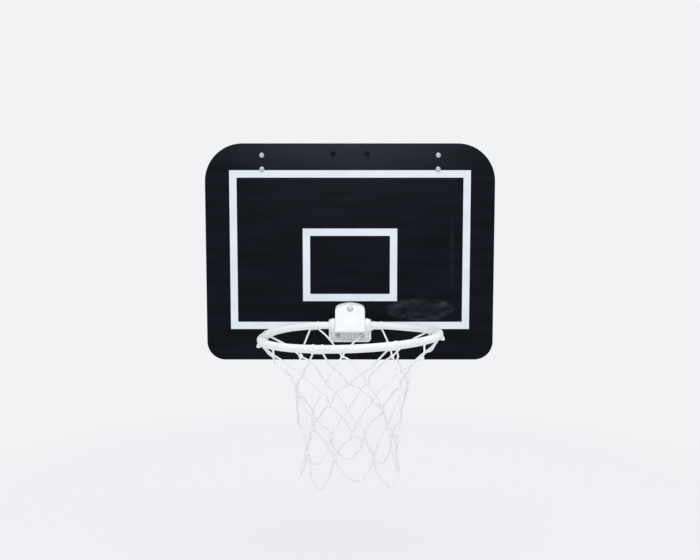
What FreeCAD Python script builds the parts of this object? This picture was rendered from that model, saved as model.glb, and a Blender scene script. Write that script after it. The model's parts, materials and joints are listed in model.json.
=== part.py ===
"""Over-the-door basketball backboard with a sprung rim and a cord net.

X runs to the right, Y to the back and Z up. The origin is midway between the two top screw holes, on
the board's back face, so the board lies from y = -board_thickness to y = 0.
"""
import FreeCAD, Part
import math
import os
import Sketcher

Vector = FreeCAD.Vector

# Driving dimensions: millimetres, degrees for angles, plain counts
DIMENSIONS = {
    # Flat board and its two screw holes
    "board_width": 406.4,
    "board_height": 304.8,
    "board_thickness": 5.0,
    "board_top_radius": 53.0,
    "board_bottom_radius": 26.0,
    "board_edge_break": 1.2,
    "hole_drop": 14.75,
    "hole_spacing": 47.3,
    "hole_diameter": 6.0,
    # White lines on the board's face
    "line_width": 10.2,
    "line_thickness": 0.3,
    "frame_width": 338.0,
    "frame_height": 223.4,
    "frame_drop": 37.2,
    "target_width": 133.0,
    "target_height": 102.5,
    "target_gap": 29.5,
    "line_clearance": 0.2,
    # Door hooks, their rivets and pads
    "hook_spacing": 246.4,
    "hook_width": 25.0,
    "hook_steel": 2.0,
    "hook_bend": 4.0,
    "hook_drop": 3.0,
    "hook_back_length": 48.0,
    "hook_tail": 13.0,
    "hook_corner": 6.0,
    "door_gap": 46.0,
    "rivet_drop": 16.5,
    "rivet_pitch": 19.2,
    "rivet_head": 7.2,
    "rivet_head_height": 1.7,
    "rivet_head_edge": 1.2,
    "rivet_shank": 4.0,
    "rivet_tail": 6.4,
    "rivet_tail_length": 3.0,
    "rivet_tail_edge": 0.75,
    "strap_pad_thickness": 4.5,
    "hook_pad_thickness": 3.0,
    "pad_margin": 2.0,
    "pad_hole": 9.0,
    "pad_corner": 4.0,
    "bumper_diameter": 28.0,
    "bumper_margin": 53.2,
    "bumper_rise": 30.0,
    "bumper_edge": 1.5,
    # Rim bracket: base plate, ears and hood
    "base_width": 59.6,
    "base_rise": 26.3,
    "base_height": 31.7,
    "base_thickness": 3.0,
    "base_corner": 5.5,
    "pan_border": 2.5,
    "pan_depth": 3.0,
    "pan_height": 17.7,
    "ear_thickness": 4.85,
    "ear_root_low": 33.0,
    "ear_root_high": 57.0,
    "knuckle_diameter": 19.2,
    "bush_barrel": 13.0,
    "bush_flange": 17.6,
    "bush_nose": 11.6,
    "bush_flange_length": 4.1,
    "shelf_width": 26.0,
    "shelf_thickness": 3.0,
    "shelf_depth": 16.5,
    "shelf_ribs": 4,
    "rib_thickness": 1.6,
    "rib_depth": 5.0,
    "spring_catch_width": 4.0,
    "spring_catch_height": 3.2,
    "hood_width": 41.2,
    "hood_top": 82.0,
    "hood_bottom": 45.4,
    "hood_dome_radius": 47.0,
    "hood_corner": 6.0,
    "hood_wall": 2.0,
    "hood_top_depth": 30.0,
    "hood_depth": 47.0,
    "hood_lip": 0.8,
    "hood_lip_height": 3.0,
    "hood_round": 1.5,
    "hood_seat_depth": 29.8,
    "hood_well": 8.4,
    "boss_diameter": 7.2,
    # Screws, washers and nuts
    "screw_diameter": 4.0,
    "screw_head": 7.0,
    "screw_head_height": 2.4,
    "screw_head_edge": 1.3,
    "screw_tip": 1.0,
    "screw_clearance": 0.2,
    "hood_screw_rise": 76.2,
    "base_screw_rise": 35.0,
    "base_screw_clearance": 0.35,
    "washer_diameter": 10.0,
    "washer_thickness": 1.0,
    "nut_flats": 7.0,
    "nut_height": 3.2,
    # Rim rod, its hinge and springs
    "rim_diameter": 228.6,
    "rod_diameter": 10.0,
    "rim_rise": 53.1,
    "hinge_out": 30.5,
    "bar_margin": 1.2,
    "rim_bend": 30.0,
    "rod_end_gap": 3.0,
    "core_diameter": 15.0,
    "core_length": 36.4,
    "lug_width": 14.0,
    "lug_height": 7.0,
    "lug_reach": 14.5,
    "crossbar_width": 26.0,
    "crossbar_depth": 3.5,
    "pin_diameter": 3.0,
    "pin_spacing": 11.0,
    "pin_length": 14.4,
    "spring_wire": 1.8,
    "spring_coil": 17.6,
    "spring_turns": 2,
    "spring_start": 8.9,
    "spring_length": 8.5,
    "spring_leg": 16.0,
    "running_clearance": 0.06,
    "fit_clearance": 0.05,
    "seat_clearance": 0.3,
    "hood_clearance": 0.25,
    # Cord net: eight double wraps, four rows of knots and hanging loops
    "net_meshes": 8,
    "net_shift": 6.0,
    "net_cord": 3.0,
    "net_wrap_spacing": 13.4,
    "net_wrap_clearance": 0.15,
    "net_wrap_thickness": 0.9,
    "net_end_gap": 0.6,
    "net_knot": 5.2,
    "net_knot_length": 6.0,
    "net_row1_drop": 43.0,
    "net_row1_diameter": 170.0,
    "net_row2_drop": 75.0,
    "net_row2_diameter": 146.0,
    "net_row3_drop": 113.0,
    "net_row3_diameter": 132.0,
    "net_row4_drop": 145.0,
    "net_row4_diameter": 120.0,
    "net_loop_drop": 180.0,
    "net_loop_diameter": 124.0,
    "net_loop_width": 9.0,
}

# Flat sides of a cord and of a spring wire, and flat steps of a turn of cord round the rod
CORD_SIDES = 6
WIRE_SIDES = 6
WRAP_STEPS = 10

doc = FreeCAD.newDocument("basketball_backboard")
sheet = doc.addObject("Spreadsheet::Sheet", "dims")
for row, (alias, value) in enumerate(DIMENSIONS.items(), 1):
    sheet.set(f"A{row}", alias)
    sheet.set(f"B{row}", str(value))
    sheet.setAlias(f"B{row}", alias)
doc.recompute()

sub_parts = []

# Heights and depths that several pieces share, as expressions on the sheet
BOARD_TOP = "dims.hole_drop"
BOARD_BOTTOM = "(dims.hole_drop - dims.board_height)"
HALF_HOLES = "dims.hole_spacing / 2"
HALF_HOOKS = "dims.hook_spacing / 2"
HIGH_RIVET = "(dims.hole_drop - dims.rivet_drop)"
LOW_RIVET = "(dims.hole_drop - dims.rivet_drop - dims.rivet_pitch)"
SHANK_HOLE = "(dims.rivet_shank + 2 * dims.fit_clearance)"
SCREW_HOLE = "(dims.screw_diameter + 2 * dims.screw_clearance)"
EAR_INNER = "(dims.hood_width / 2 + dims.hood_clearance)"
EAR_OUTER = "(dims.hood_width / 2 + dims.hood_clearance + dims.ear_thickness)"
HALF_BASE_SCREWS = f"({EAR_INNER} - dims.screw_head / 2 - dims.base_screw_clearance)"
HOOD_INNER = "(dims.hood_width / 2 - dims.hood_wall)"
HOOD_FOOT = "(dims.hood_bottom + dims.hood_lip_height + dims.hood_lip)"
SHELF_TOP = "(dims.rim_rise - dims.lug_height / 2 - dims.seat_clearance)"
SPRING_BOTTOM = "(dims.rim_rise - dims.spring_coil / 2)"
STANDOFF = "(dims.hook_steel + dims.strap_pad_thickness)"
FRAME_LOW = "(dims.board_height - dims.frame_drop - dims.frame_height)"
HALF_BAR = f"({EAR_OUTER} + dims.bush_flange_length + dims.bar_margin)"
RIM_DEPTH = f"(dims.rim_bend + sqrt((dims.rim_diameter / 2 - dims.rim_bend) ^ 2 - {HALF_BAR} ^ 2))"
RIM_TURN = f"atan2({HALF_BAR}; {RIM_DEPTH} - dims.rim_bend)"


def number(expression):
    """Value of an expression on the sheet."""
    return float(sheet.evalExpression(expression))


def size(alias):
    """Value of one cell of the sheet."""
    return float(sheet.get(alias))


def keep(obj, label):
    """Name an object as a sub-part that is written to its own file."""
    obj.Label = label
    sub_parts.append(obj)
    return obj


def new_body(name):
    """Empty solid body at the origin."""
    return doc.addObject("PartDesign::Body", name)


def place(obj, x="0", y="0", z="0"):
    """Bind an object's place to the sheet."""
    for axis, expression in zip("xyz", (x, y, z)):
        obj.setExpression(f"Placement.Base.{axis}", expression)


def place_on_board(obj):
    """Local y = 0 is the board's face and local z = 0 the board's lower edge."""
    place(obj, y="-dims.board_thickness", z=BOARD_BOTTOM)


def place_on_hinge(obj):
    """Local origin on the hinge axis, midway along it."""
    place(obj, y="-dims.board_thickness - dims.hinge_out", z=f"{BOARD_BOTTOM} + dims.rim_rise")


def new_sketch(body, name, role, offset="0"):
    """Sketch on one of the body's own origin planes, moved along the plane's normal."""
    sketch = body.newObject("Sketcher::SketchObject", name)
    origin_plane = next(item for item in body.Origin.OriginFeatures if item.Role == role)
    sketch.AttachmentSupport = [(origin_plane, "")]
    sketch.MapMode = "FlatFace"
    sketch.setExpression("AttachmentOffset.Base.z", offset)
    return sketch


def hold_value(sketch, constraint, expression):
    """Add a constraint whose value follows the sheet."""
    index = sketch.addConstraint(constraint)
    sketch.setExpression(f"Constraints[{index}]", expression)


def hold_point(sketch, geometry, point, x, y):
    """Fix a point of the sketch at two expressions."""
    hold_value(sketch, Sketcher.Constraint("DistanceX", -1, 1, geometry, point, number(x)), x)
    hold_value(sketch, Sketcher.Constraint("DistanceY", -1, 1, geometry, point, number(y)), y)


def outline(sketch, corners):
    """Closed outline through corners given as pairs of expressions."""
    points = [Vector(number(x), number(y), 0) for x, y in corners]
    lines = []
    for start, end in zip(points, points[1:] + points[:1]):
        lines.append(sketch.addGeometry(Part.LineSegment(start, end), False))
    for line, following in zip(lines, lines[1:] + lines[:1]):
        sketch.addConstraint(Sketcher.Constraint("Coincident", line, 2, following, 1))
    for line, (x, y) in zip(lines, corners):
        hold_point(sketch, line, 1, x, y)


def rectangle(sketch, left, right, low, high):
    """Rectangle between four expressions."""
    outline(sketch, [(left, low), (right, low), (right, high), (left, high)])


def circle(sketch, x, y, diameter):
    """Circle of a diameter about a point."""
    centre = Vector(number(x), number(y), 0)
    ring = sketch.addGeometry(Part.Circle(centre, Vector(0, 0, 1), number(diameter) / 2), False)
    hold_point(sketch, ring, 3, x, y)
    hold_value(sketch, Sketcher.Constraint("Diameter", ring, number(diameter)), diameter)


def pad(body, sketch, length, symmetric=False):
    """Extrude a sketch along its normal, or half of the length each way."""
    feature = body.newObject("PartDesign::Pad", f"{sketch.Name}_pad")
    feature.Profile = sketch
    feature.SideType = "Symmetric" if symmetric else "One side"
    feature.setExpression("Length", length)
    return feature


def pocket(body, sketch, length=None):
    """Cut half of a length each way from a sketch, or right through both ways."""
    feature = body.newObject("PartDesign::Pocket", f"{sketch.Name}_pocket")
    feature.Profile = sketch
    feature.SideType = "Symmetric"
    if length is None:
        feature.Type = "ThroughAll"
    else:
        feature.setExpression("Length", length)
    return feature


def revolve(body, sketch, axis, angle="360"):
    """Turn a sketch about its own horizontal or vertical axis."""
    feature = body.newObject("PartDesign::Revolution", f"{sketch.Name}_turned")
    feature.Profile = sketch
    feature.ReferenceAxis = (sketch, [axis])
    feature.setExpression("Angle", angle)
    return feature


def edge_feature(body, kind, name, wanted):
    """Feature on the edges of the body so far that a test picks out."""
    doc.recompute()
    base = body.Tip
    edges = [f"Edge{index}" for index, edge in enumerate(base.Shape.Edges, 1) if wanted(edge)]
    feature = body.newObject(kind, name)
    feature.Base = (base, edges)
    return feature


def fillet(body, name, radius, wanted):
    """Round the picked edges."""
    edge_feature(body, "PartDesign::Fillet", name, wanted).setExpression("Radius", radius)


def chamfer(body, name, width, wanted):
    """Break the picked edges at 45 degrees."""
    edge_feature(body, "PartDesign::Chamfer", name, wanted).setExpression("Size", width)


def along(edge, direction):
    """True for a straight edge parallel to a direction."""
    if edge.Curve.TypeId != "Part::GeomLine":
        return False
    return abs(abs(edge.tangentAt(edge.FirstParameter).dot(direction)) - 1) < 1e-6


def near(value, *targets):
    """True where a value equals one of the targets."""
    return any(abs(value - target) < 1e-3 for target in targets)


def group(label, pattern, places):
    """Node of equal pieces: links to one pattern, each at its own place."""
    links = []
    for index, (x, y, z) in enumerate(places):
        link = doc.addObject("App::Link", f"{label}_{index + 1}")
        link.LinkedObject = pattern
        link.LinkTransform = False
        place(link, x, y, z)
        links.append(link)
    compound = doc.addObject("Part::Compound", label)
    compound.Links = links
    return keep(compound, label)


X_AXIS = Vector(1, 0, 0)
Y_AXIS = Vector(0, 1, 0)
Z_AXIS = Vector(0, 0, 1)
SIDES = (("left", -1), ("right", 1))


def make_backboard():
    """Flat sheet with round corners and every hole that goes through it."""
    body = new_body("backboard")
    face = new_sketch(body, "board_face", "XZ_Plane")
    rectangle(face, "-dims.board_width / 2", "dims.board_width / 2", BOARD_BOTTOM, BOARD_TOP)
    for _, sign in SIDES:
        circle(face, f"{sign} * {HALF_HOLES}", "0", "dims.hole_diameter")
        circle(face, f"{sign} * {HALF_HOOKS}", HIGH_RIVET, SHANK_HOLE)
        circle(face, f"{sign} * {HALF_HOOKS}", LOW_RIVET, SHANK_HOLE)
        circle(face, f"{sign} * {HALF_BASE_SCREWS}", f"{BOARD_BOTTOM} + dims.base_screw_rise", SCREW_HOLE)
    circle(face, "0", f"{BOARD_BOTTOM} + dims.hood_screw_rise", SCREW_HOLE)
    pad(body, face, "dims.board_thickness")
    top, bottom = number(BOARD_TOP), number(BOARD_BOTTOM)
    fillet(body, "top_corners", "dims.board_top_radius",
           lambda edge: along(edge, Y_AXIS) and near(edge.CenterOfMass.z, top))
    fillet(body, "bottom_corners", "dims.board_bottom_radius",
           lambda edge: along(edge, Y_AXIS) and near(edge.CenterOfMass.z, bottom))
    shortest_arc = size("board_bottom_radius")
    chamfer(body, "edge_break", "dims.board_edge_break",
            lambda edge: edge.BoundBox.YLength < 1e-6 and edge.Length > shortest_arc)
    return keep(body, "backboard")


def line_frame(label, half_width, low, high):
    """Rectangular line on the board's face, given by its outer edges."""
    body = new_body(label)
    face = new_sketch(body, f"{label}_face", "XZ_Plane", "dims.board_thickness")
    rectangle(face, f"-{half_width}", half_width, low, high)
    inner = f"({half_width} - dims.line_width)"
    rectangle(face, f"-{inner}", inner, f"{low} + dims.line_width", f"{high} - dims.line_width")
    pad(body, face, "dims.line_thickness")
    return body


def make_border_line():
    """Border line, cut away round the rivet heads that stand on its upper edge."""
    high = f"({BOARD_TOP} - dims.frame_drop)"
    body = line_frame("border_line", "(dims.frame_width / 2)", f"({high} - dims.frame_height)", high)
    cuts = new_sketch(body, "rivet_cuts", "XZ_Plane")
    for _, sign in SIDES:
        circle(cuts, f"{sign} * {HALF_HOOKS}", LOW_RIVET, "dims.rivet_head + 2 * dims.line_clearance")
    pocket(body, cuts)
    return keep(body, "border_line")


def make_target_line():
    """Target square above the rim."""
    low = f"({BOARD_BOTTOM} + {FRAME_LOW} + dims.line_width + dims.target_gap)"
    body = line_frame("target_line", "(dims.target_width / 2)", low, f"({low} + dims.target_height)")
    return keep(body, "target_line")


HOOK_TOP = "(dims.hole_drop - dims.hook_drop)"
HOOK_END = "(dims.hole_drop - dims.rivet_drop - dims.rivet_pitch - dims.hook_tail)"
HOOK_BACK_END = "(dims.hole_drop - dims.hook_drop - dims.hook_back_length)"
HOOK_BACK_FACE = f"({STANDOFF} + dims.door_gap + dims.hook_pad_thickness)"
PAD_TOP = "(dims.hole_drop - dims.hook_drop - dims.hook_steel - dims.hook_bend)"


def make_door_hook(side, sign):
    """Bent steel strap: a leg on the board's back, a web over the door and a leg behind it."""
    body = new_body(f"door_hook_{side}")
    profile = new_sketch(body, f"hook_profile_{side}", "YZ_Plane")
    outer_back = f"({HOOK_BACK_FACE} + dims.hook_steel)"
    web = f"({HOOK_TOP} - dims.hook_steel)"
    outline(profile, [
        ("0", HOOK_END), ("0", HOOK_TOP), (outer_back, HOOK_TOP), (outer_back, HOOK_BACK_END),
        (HOOK_BACK_FACE, HOOK_BACK_END), (HOOK_BACK_FACE, web), ("dims.hook_steel", web),
        ("dims.hook_steel", HOOK_END)])
    pad(body, profile, "dims.hook_width", symmetric=True)
    web_height, top = number(web), number(HOOK_TOP)
    ends = (number(HOOK_END), number(HOOK_BACK_END))
    fillet(body, f"hook_inner_bends_{side}", "dims.hook_bend",
           lambda edge: along(edge, X_AXIS) and near(edge.CenterOfMass.z, web_height))
    fillet(body, f"hook_outer_bends_{side}", "dims.hook_bend + dims.hook_steel",
           lambda edge: along(edge, X_AXIS) and near(edge.CenterOfMass.z, top))
    fillet(body, f"hook_ends_{side}", "dims.hook_corner",
           lambda edge: along(edge, Y_AXIS) and near(edge.CenterOfMass.z, *ends))
    holes = new_sketch(body, f"hook_holes_{side}", "XZ_Plane")
    circle(holes, "0", HIGH_RIVET, SHANK_HOLE)
    circle(holes, "0", LOW_RIVET, SHANK_HOLE)
    pocket(body, holes, "2 * (dims.hook_steel + dims.fit_clearance)")
    place(body, x=f"{sign} * {HALF_HOOKS}")
    return keep(body, f"door_hook_{side}")


def foam_strip(label, low, high, start, thickness, sign):
    """Foam strip on a strap, inside the strap's edges, with round corners."""
    body = new_body(label)
    face = new_sketch(body, f"{label}_face", "XZ_Plane", f"-{start} - {thickness}")
    half = "(dims.hook_width / 2 - dims.pad_margin)"
    rectangle(face, f"-{half}", half, low, high)
    pad(body, face, thickness)
    fillet(body, f"{label}_corners", "dims.pad_corner", lambda edge: along(edge, Y_AXIS))
    place(body, x=f"{sign} * {HALF_HOOKS}")
    return body


def make_strap_pad(side, sign):
    """Foam between a strap and the door's front, holed for the rivet tails."""
    label = f"strap_pad_{side}"
    body = foam_strip(label, f"({HOOK_END} + dims.pad_margin)", PAD_TOP, "dims.hook_steel",
                      "dims.strap_pad_thickness", sign)
    holes = new_sketch(body, f"{label}_holes", "XZ_Plane")
    circle(holes, "0", HIGH_RIVET, "dims.pad_hole")
    circle(holes, "0", LOW_RIVET, "dims.pad_hole")
    pocket(body, holes)
    return keep(body, label)


def make_hook_pad(side, sign):
    """Foam inside a hook's back leg, against the door's back."""
    label = f"hook_pad_{side}"
    start = f"({STANDOFF} + dims.door_gap)"
    body = foam_strip(label, f"({HOOK_BACK_END} + dims.pad_margin)", PAD_TOP, start,
                      "dims.hook_pad_thickness", sign)
    return keep(body, label)


def make_bumper(side, sign):
    """Round pad at a lower back corner, as thick as the strap and its foam."""
    body = new_body(f"bumper_{side}")
    face = new_sketch(body, f"bumper_face_{side}", "XZ_Plane", f"-{STANDOFF}")
    circle(face, "0", "0", "dims.bumper_diameter")
    pad(body, face, STANDOFF)
    back = number(STANDOFF)
    chamfer(body, f"bumper_edge_{side}", "dims.bumper_edge",
            lambda edge: edge.BoundBox.YLength < 1e-6 and near(edge.CenterOfMass.y, back))
    place(body, x=f"{sign} * (dims.board_width / 2 - dims.bumper_margin)",
          z=f"{BOARD_BOTTOM} + dims.bumper_rise")
    return keep(body, f"bumper_{side}")


def make_hook_rivets():
    """Four rivets: domed head on the board's face, shank, and tail set behind the strap."""
    body = new_body("rivet")
    half = new_sketch(body, "rivet_half", "XY_Plane")
    face = "-dims.board_thickness"
    tail = "dims.hook_steel"
    crown = f"{face} - dims.rivet_head_height"
    end = f"{tail} + dims.rivet_tail_length"
    outline(half, [
        ("0", crown), ("dims.rivet_head / 2", crown), ("dims.rivet_head / 2", face),
        ("dims.rivet_shank / 2", face), ("dims.rivet_shank / 2", tail), ("dims.rivet_tail / 2", tail),
        ("dims.rivet_tail / 2", end), ("0", end)])
    revolve(body, half, "V_Axis")
    front, back = number(crown), number(end)
    chamfer(body, "rivet_head_edge", "dims.rivet_head_edge", lambda edge: near(edge.CenterOfMass.y, front))
    chamfer(body, "rivet_tail_edge", "dims.rivet_tail_edge", lambda edge: near(edge.CenterOfMass.y, back))
    places = []
    for _, sign in SIDES:
        places += [(f"{sign} * {HALF_HOOKS}", "0", height) for height in (HIGH_RIVET, LOW_RIVET)]
    return group("hook_rivets", body, places)


def make_base_plate():
    """Moulded bracket: plate with a domed tab, framed pan, two ears, stop shelf and spring catches."""
    body = new_body("base_plate")
    half_base, half_hood = "dims.base_width / 2", "dims.hood_width / 2"
    plate_top = "(dims.base_rise + dims.base_height)"
    plate = new_sketch(body, "base_outline", "XZ_Plane")
    outline(plate, [
        (f"-{half_base}", "dims.base_rise"), (half_base, "dims.base_rise"), (half_base, plate_top),
        (half_hood, plate_top), (half_hood, "dims.hood_top"), (f"-{half_hood}", "dims.hood_top"),
        (f"-{half_hood}", plate_top), (f"-{half_base}", plate_top)])
    pad(body, plate, "dims.base_thickness")
    dome_cut(body, "base_dome")
    make_ears(body)
    make_pan(body)
    make_shelf(body)
    boss = new_sketch(body, "hood_boss", "XZ_Plane")
    circle(boss, "0", "dims.hood_screw_rise", "dims.boss_diameter")
    pad(body, boss, "dims.hood_seat_depth - dims.hood_wall - dims.fit_clearance")
    holes = new_sketch(body, "base_holes", "XZ_Plane")
    circle(holes, "0", "dims.hood_screw_rise", SCREW_HOLE)
    for _, sign in SIDES:
        circle(holes, f"{sign} * {HALF_BASE_SCREWS}", "dims.base_screw_rise", SCREW_HOLE)
    pocket(body, holes, "2 * dims.hood_seat_depth")
    relief = new_sketch(body, "line_relief", "XZ_Plane")
    line_low = f"({FRAME_LOW} - dims.line_clearance)"
    rectangle(relief, "-dims.base_width", "dims.base_width", line_low,
              f"{line_low} + dims.line_width + 2 * dims.line_clearance")
    pocket(body, relief, "2 * (dims.line_thickness + dims.fit_clearance)")
    place_on_board(body)
    return keep(body, "base_plate")


def dome_cut(body, name, inset="0"):
    """Cut away what lies outside the bracket's round top, drawn in by an inset."""
    outside = new_sketch(body, name, "XZ_Plane")
    centre = "(dims.hood_top - dims.hood_dome_radius)"
    reach = "(dims.hood_dome_radius + dims.base_width)"
    rectangle(outside, f"-{reach}", reach, f"{centre} - {reach}", f"{centre} + {reach}")
    circle(outside, "0", centre, f"2 * (dims.hood_dome_radius - {inset})")
    pocket(body, outside)
    side = number(f"dims.hood_width / 2 - {inset}")
    lowest = number("dims.hood_top - dims.hood_dome_radius / 2")
    fillet(body, f"{name}_corners", f"dims.hood_corner - {inset}",
           lambda edge: along(edge, Y_AXIS) and near(abs(edge.CenterOfMass.x), side)
           and edge.CenterOfMass.z > lowest)


def make_ears(body):
    """Two ears with round knuckles about the hinge axis, from one profile with its middle cut out."""
    reach = "dims.hinge_out"
    ear = new_sketch(body, "ear_profile", "YZ_Plane")
    outline(ear, [
        ("-dims.base_thickness / 2", "dims.ear_root_low"),
        ("-dims.base_thickness / 2", "dims.ear_root_high"),
        (f"-{reach}", "dims.rim_rise + dims.knuckle_diameter / 2"),
        (f"-{reach}", "dims.rim_rise - dims.knuckle_diameter / 2")])
    pad(body, ear, f"2 * {EAR_OUTER}", symmetric=True)
    knuckle = new_sketch(body, "knuckle", "YZ_Plane")
    circle(knuckle, f"-{reach}", "dims.rim_rise", "dims.knuckle_diameter")
    pad(body, knuckle, f"2 * {EAR_OUTER}", symmetric=True)
    middle = new_sketch(body, "between_ears", "YZ_Plane")
    rectangle(middle, f"-{reach} - dims.knuckle_diameter", "-dims.base_thickness",
              "dims.base_rise", "dims.hood_top")
    pocket(body, middle, f"2 * {EAR_INNER}")
    bore = new_sketch(body, "bush_bore", "YZ_Plane")
    circle(bore, f"-{reach}", "dims.rim_rise", "dims.bush_barrel + 2 * dims.fit_clearance")
    pocket(body, bore)


def make_pan(body):
    """Raised border on the sides and foot of the plate, with round lower corners."""
    half_base = "dims.base_width / 2"
    inner = f"({half_base} - dims.pan_border)"
    top = "(dims.base_rise + dims.pan_height)"
    floor = "(dims.base_rise + dims.pan_border)"
    border = new_sketch(body, "pan_border", "XZ_Plane")
    outline(border, [
        (f"-{half_base}", "dims.base_rise"), (half_base, "dims.base_rise"), (half_base, top),
        (inner, top), (inner, floor), (f"-{inner}", floor), (f"-{inner}", top), (f"-{half_base}", top)])
    pad(body, border, "dims.base_thickness + dims.pan_depth")
    low = number("dims.base_rise")
    fillet(body, "base_corners", "dims.base_corner",
           lambda edge: along(edge, Y_AXIS) and near(edge.CenterOfMass.z, low))


def make_shelf(body):
    """Stop shelf on ribs under the rim's lug, and a catch over each spring leg."""
    shelf = new_sketch(body, "shelf", "XZ_Plane")
    half_shelf = "dims.shelf_width / 2"
    shelf_low = f"({SHELF_TOP} - dims.shelf_thickness)"
    rectangle(shelf, f"-{half_shelf}", half_shelf, shelf_low, SHELF_TOP)
    pad(body, shelf, "dims.base_thickness + dims.shelf_depth")
    ribs = new_sketch(body, "shelf_ribs", "XZ_Plane")
    count = int(size("shelf_ribs"))
    for index in range(count):
        left = f"(-{half_shelf} + {index} * (dims.shelf_width - dims.rib_thickness) / {count - 1})"
        rectangle(ribs, left, f"{left} + dims.rib_thickness", "dims.base_rise + dims.pan_border / 2",
                  f"{shelf_low} + dims.shelf_thickness / 2")
    pad(body, ribs, "dims.base_thickness + dims.rib_depth")
    catches = new_sketch(body, "spring_catches", "XZ_Plane")
    catch_low = f"({SPRING_BOTTOM} + dims.spring_wire / 2 + dims.seat_clearance)"
    for _, sign in SIDES:
        far = f"({HOOD_INNER} - dims.hood_clearance)"
        close = f"({far} - dims.spring_catch_width)"
        left, right = (close, far) if sign > 0 else (f"-{far}", f"-{close}")
        rectangle(catches, left, right, catch_low, f"{catch_low} + dims.spring_catch_height")
    pad(body, catches, "dims.base_thickness + dims.shelf_depth")


def hood_form(name, inset, foot):
    """Solid of the hood's outside, or of its hollow: the same form drawn in by an inset."""
    body = new_body(name)
    profile = new_sketch(body, f"{name}_profile", "YZ_Plane")
    back, top = f"{inset} - dims.base_thickness", f"dims.hood_top - {inset}"
    outline(profile, [
        (back, f"dims.hood_bottom - {inset}"), (back, top), (f"{inset} - dims.hood_top_depth", top),
        (f"{inset} - dims.hood_depth", f"{HOOD_FOOT} - {inset}")] + foot)
    pad(body, profile, f"dims.hood_width - 2 * {inset}", symmetric=True)
    dome_cut(body, f"{name}_dome", inset)
    return body


def screw_well(body, name, diameter, floor):
    """Cut a round well into a form's front, from the floor's depth outwards."""
    well = new_sketch(body, name, "XZ_Plane", f"{floor} + dims.hood_depth")
    circle(well, "0", "dims.hood_screw_rise", diameter)
    pocket(body, well, "2 * dims.hood_depth")


def on_hood_front(point):
    """True for a point on the hood's leaning front face."""
    foot, depth = number(HOOD_FOOT), size("hood_depth")
    lean = (depth - size("hood_top_depth")) / (size("hood_top") - foot)
    return near(point.y, lean * (point.z - foot) - depth)


def make_hood():
    """Thin moulded cover over the hinge: one leaning front with a well for the screw, and a lip."""
    lip_front = "-dims.hood_depth - dims.hood_lip"
    outside = hood_form("hood_outside", "0", [
        (lip_front, f"{HOOD_FOOT} - dims.hood_lip"), (lip_front, "dims.hood_bottom")])
    fillet(outside, "hood_front_edges", "dims.hood_round",
           lambda edge: not along(edge, X_AXIS) and on_hood_front(edge.CenterOfMass)
           and all(on_hood_front(vertex.Point) for vertex in edge.Vertexes))
    screw_well(outside, "hood_well", "dims.hood_well", "dims.hood_seat_depth")
    screw_hole = new_sketch(outside, "hood_screw_hole", "XZ_Plane")
    circle(screw_hole, "0", "dims.hood_screw_rise", SCREW_HOLE)
    pocket(outside, screw_hole)
    rod_width = "(dims.rod_diameter + 2 * dims.hood_clearance + 2 * dims.seat_clearance)"
    rod_hole = new_sketch(outside, "hood_rod_hole", "YZ_Plane")
    circle(rod_hole, "-dims.hinge_out", "dims.rim_rise", rod_width)
    pocket(outside, rod_hole)
    rod_slot = new_sketch(outside, "hood_rod_slot", "YZ_Plane")
    rectangle(rod_slot, f"-dims.hinge_out - {rod_width} / 2", f"-dims.hinge_out + {rod_width} / 2",
              "dims.hood_bottom - dims.hood_lip", "dims.rim_rise")
    pocket(outside, rod_slot)
    inset = "dims.hood_wall"
    foot = (f"{inset} - dims.hood_depth", f"dims.hood_bottom - {inset}")
    hollow = hood_form("hood_hollow", inset, [foot])
    screw_well(hollow, "hood_sleeve", f"dims.hood_well + 2 * {inset}", f"dims.hood_seat_depth - {inset}")
    hood = doc.addObject("Part::Cut", "hood")
    hood.Base = outside
    hood.Tool = hollow
    place_on_board(hood)
    return keep(hood, "hood")


def make_rim_bush(side, sign):
    """Plain bush in a knuckle: barrel in the bore and a tapered flange outside it."""
    body = new_body(f"rim_bush_{side}")
    half = new_sketch(body, f"bush_half_{side}", "XZ_Plane")
    bore = "(dims.rod_diameter / 2 + dims.running_clearance)"
    inner, seat = f"{sign} * {EAR_INNER}", f"{sign} * {EAR_OUTER}"
    nose = f"{sign} * ({EAR_OUTER} + dims.bush_flange_length)"
    outline(half, [
        (inner, bore), (inner, "dims.bush_barrel / 2"), (seat, "dims.bush_barrel / 2"),
        (seat, "dims.bush_flange / 2"), (nose, "dims.bush_nose / 2"), (nose, bore)])
    revolve(body, half, "H_Axis")
    place_on_hinge(body)
    return keep(body, f"rim_bush_{side}")


def screw_pattern(name, seat):
    """Pan-head screw along Y from a seat in front of the board's face to its tip behind the nut."""
    body = new_body(name)
    half = new_sketch(body, f"{name}_half", "XY_Plane")
    tip = "(dims.board_thickness + dims.washer_thickness + dims.nut_height + dims.screw_tip)"
    head = f"-{seat} - dims.screw_head_height"
    outline(half, [
        ("0", head), ("dims.screw_head / 2", head), ("dims.screw_head / 2", f"-{seat}"),
        ("dims.screw_diameter / 2", f"-{seat}"), ("dims.screw_diameter / 2", tip), ("0", tip)])
    revolve(body, half, "V_Axis")
    front = number(head)
    chamfer(body, f"{name}_edge", "dims.screw_head_edge", lambda edge: near(edge.CenterOfMass.y, front))
    return body


def screw_places(y):
    """Places of the base screws and of the hood screw, at one depth."""
    base_height = f"{BOARD_BOTTOM} + dims.base_screw_rise"
    base = [(f"{sign} * {HALF_BASE_SCREWS}", y, base_height) for _, sign in SIDES]
    return base, [("0", y, f"{BOARD_BOTTOM} + dims.hood_screw_rise")]


def make_screws():
    """Two screws in the pan and one at the bottom of the hood's well."""
    base, hood = screw_places("-dims.board_thickness")
    group("base_screws", screw_pattern("base_screw", "dims.base_thickness"), base)
    group("hood_screw", screw_pattern("cover_screw", "dims.hood_seat_depth"), hood)


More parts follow.
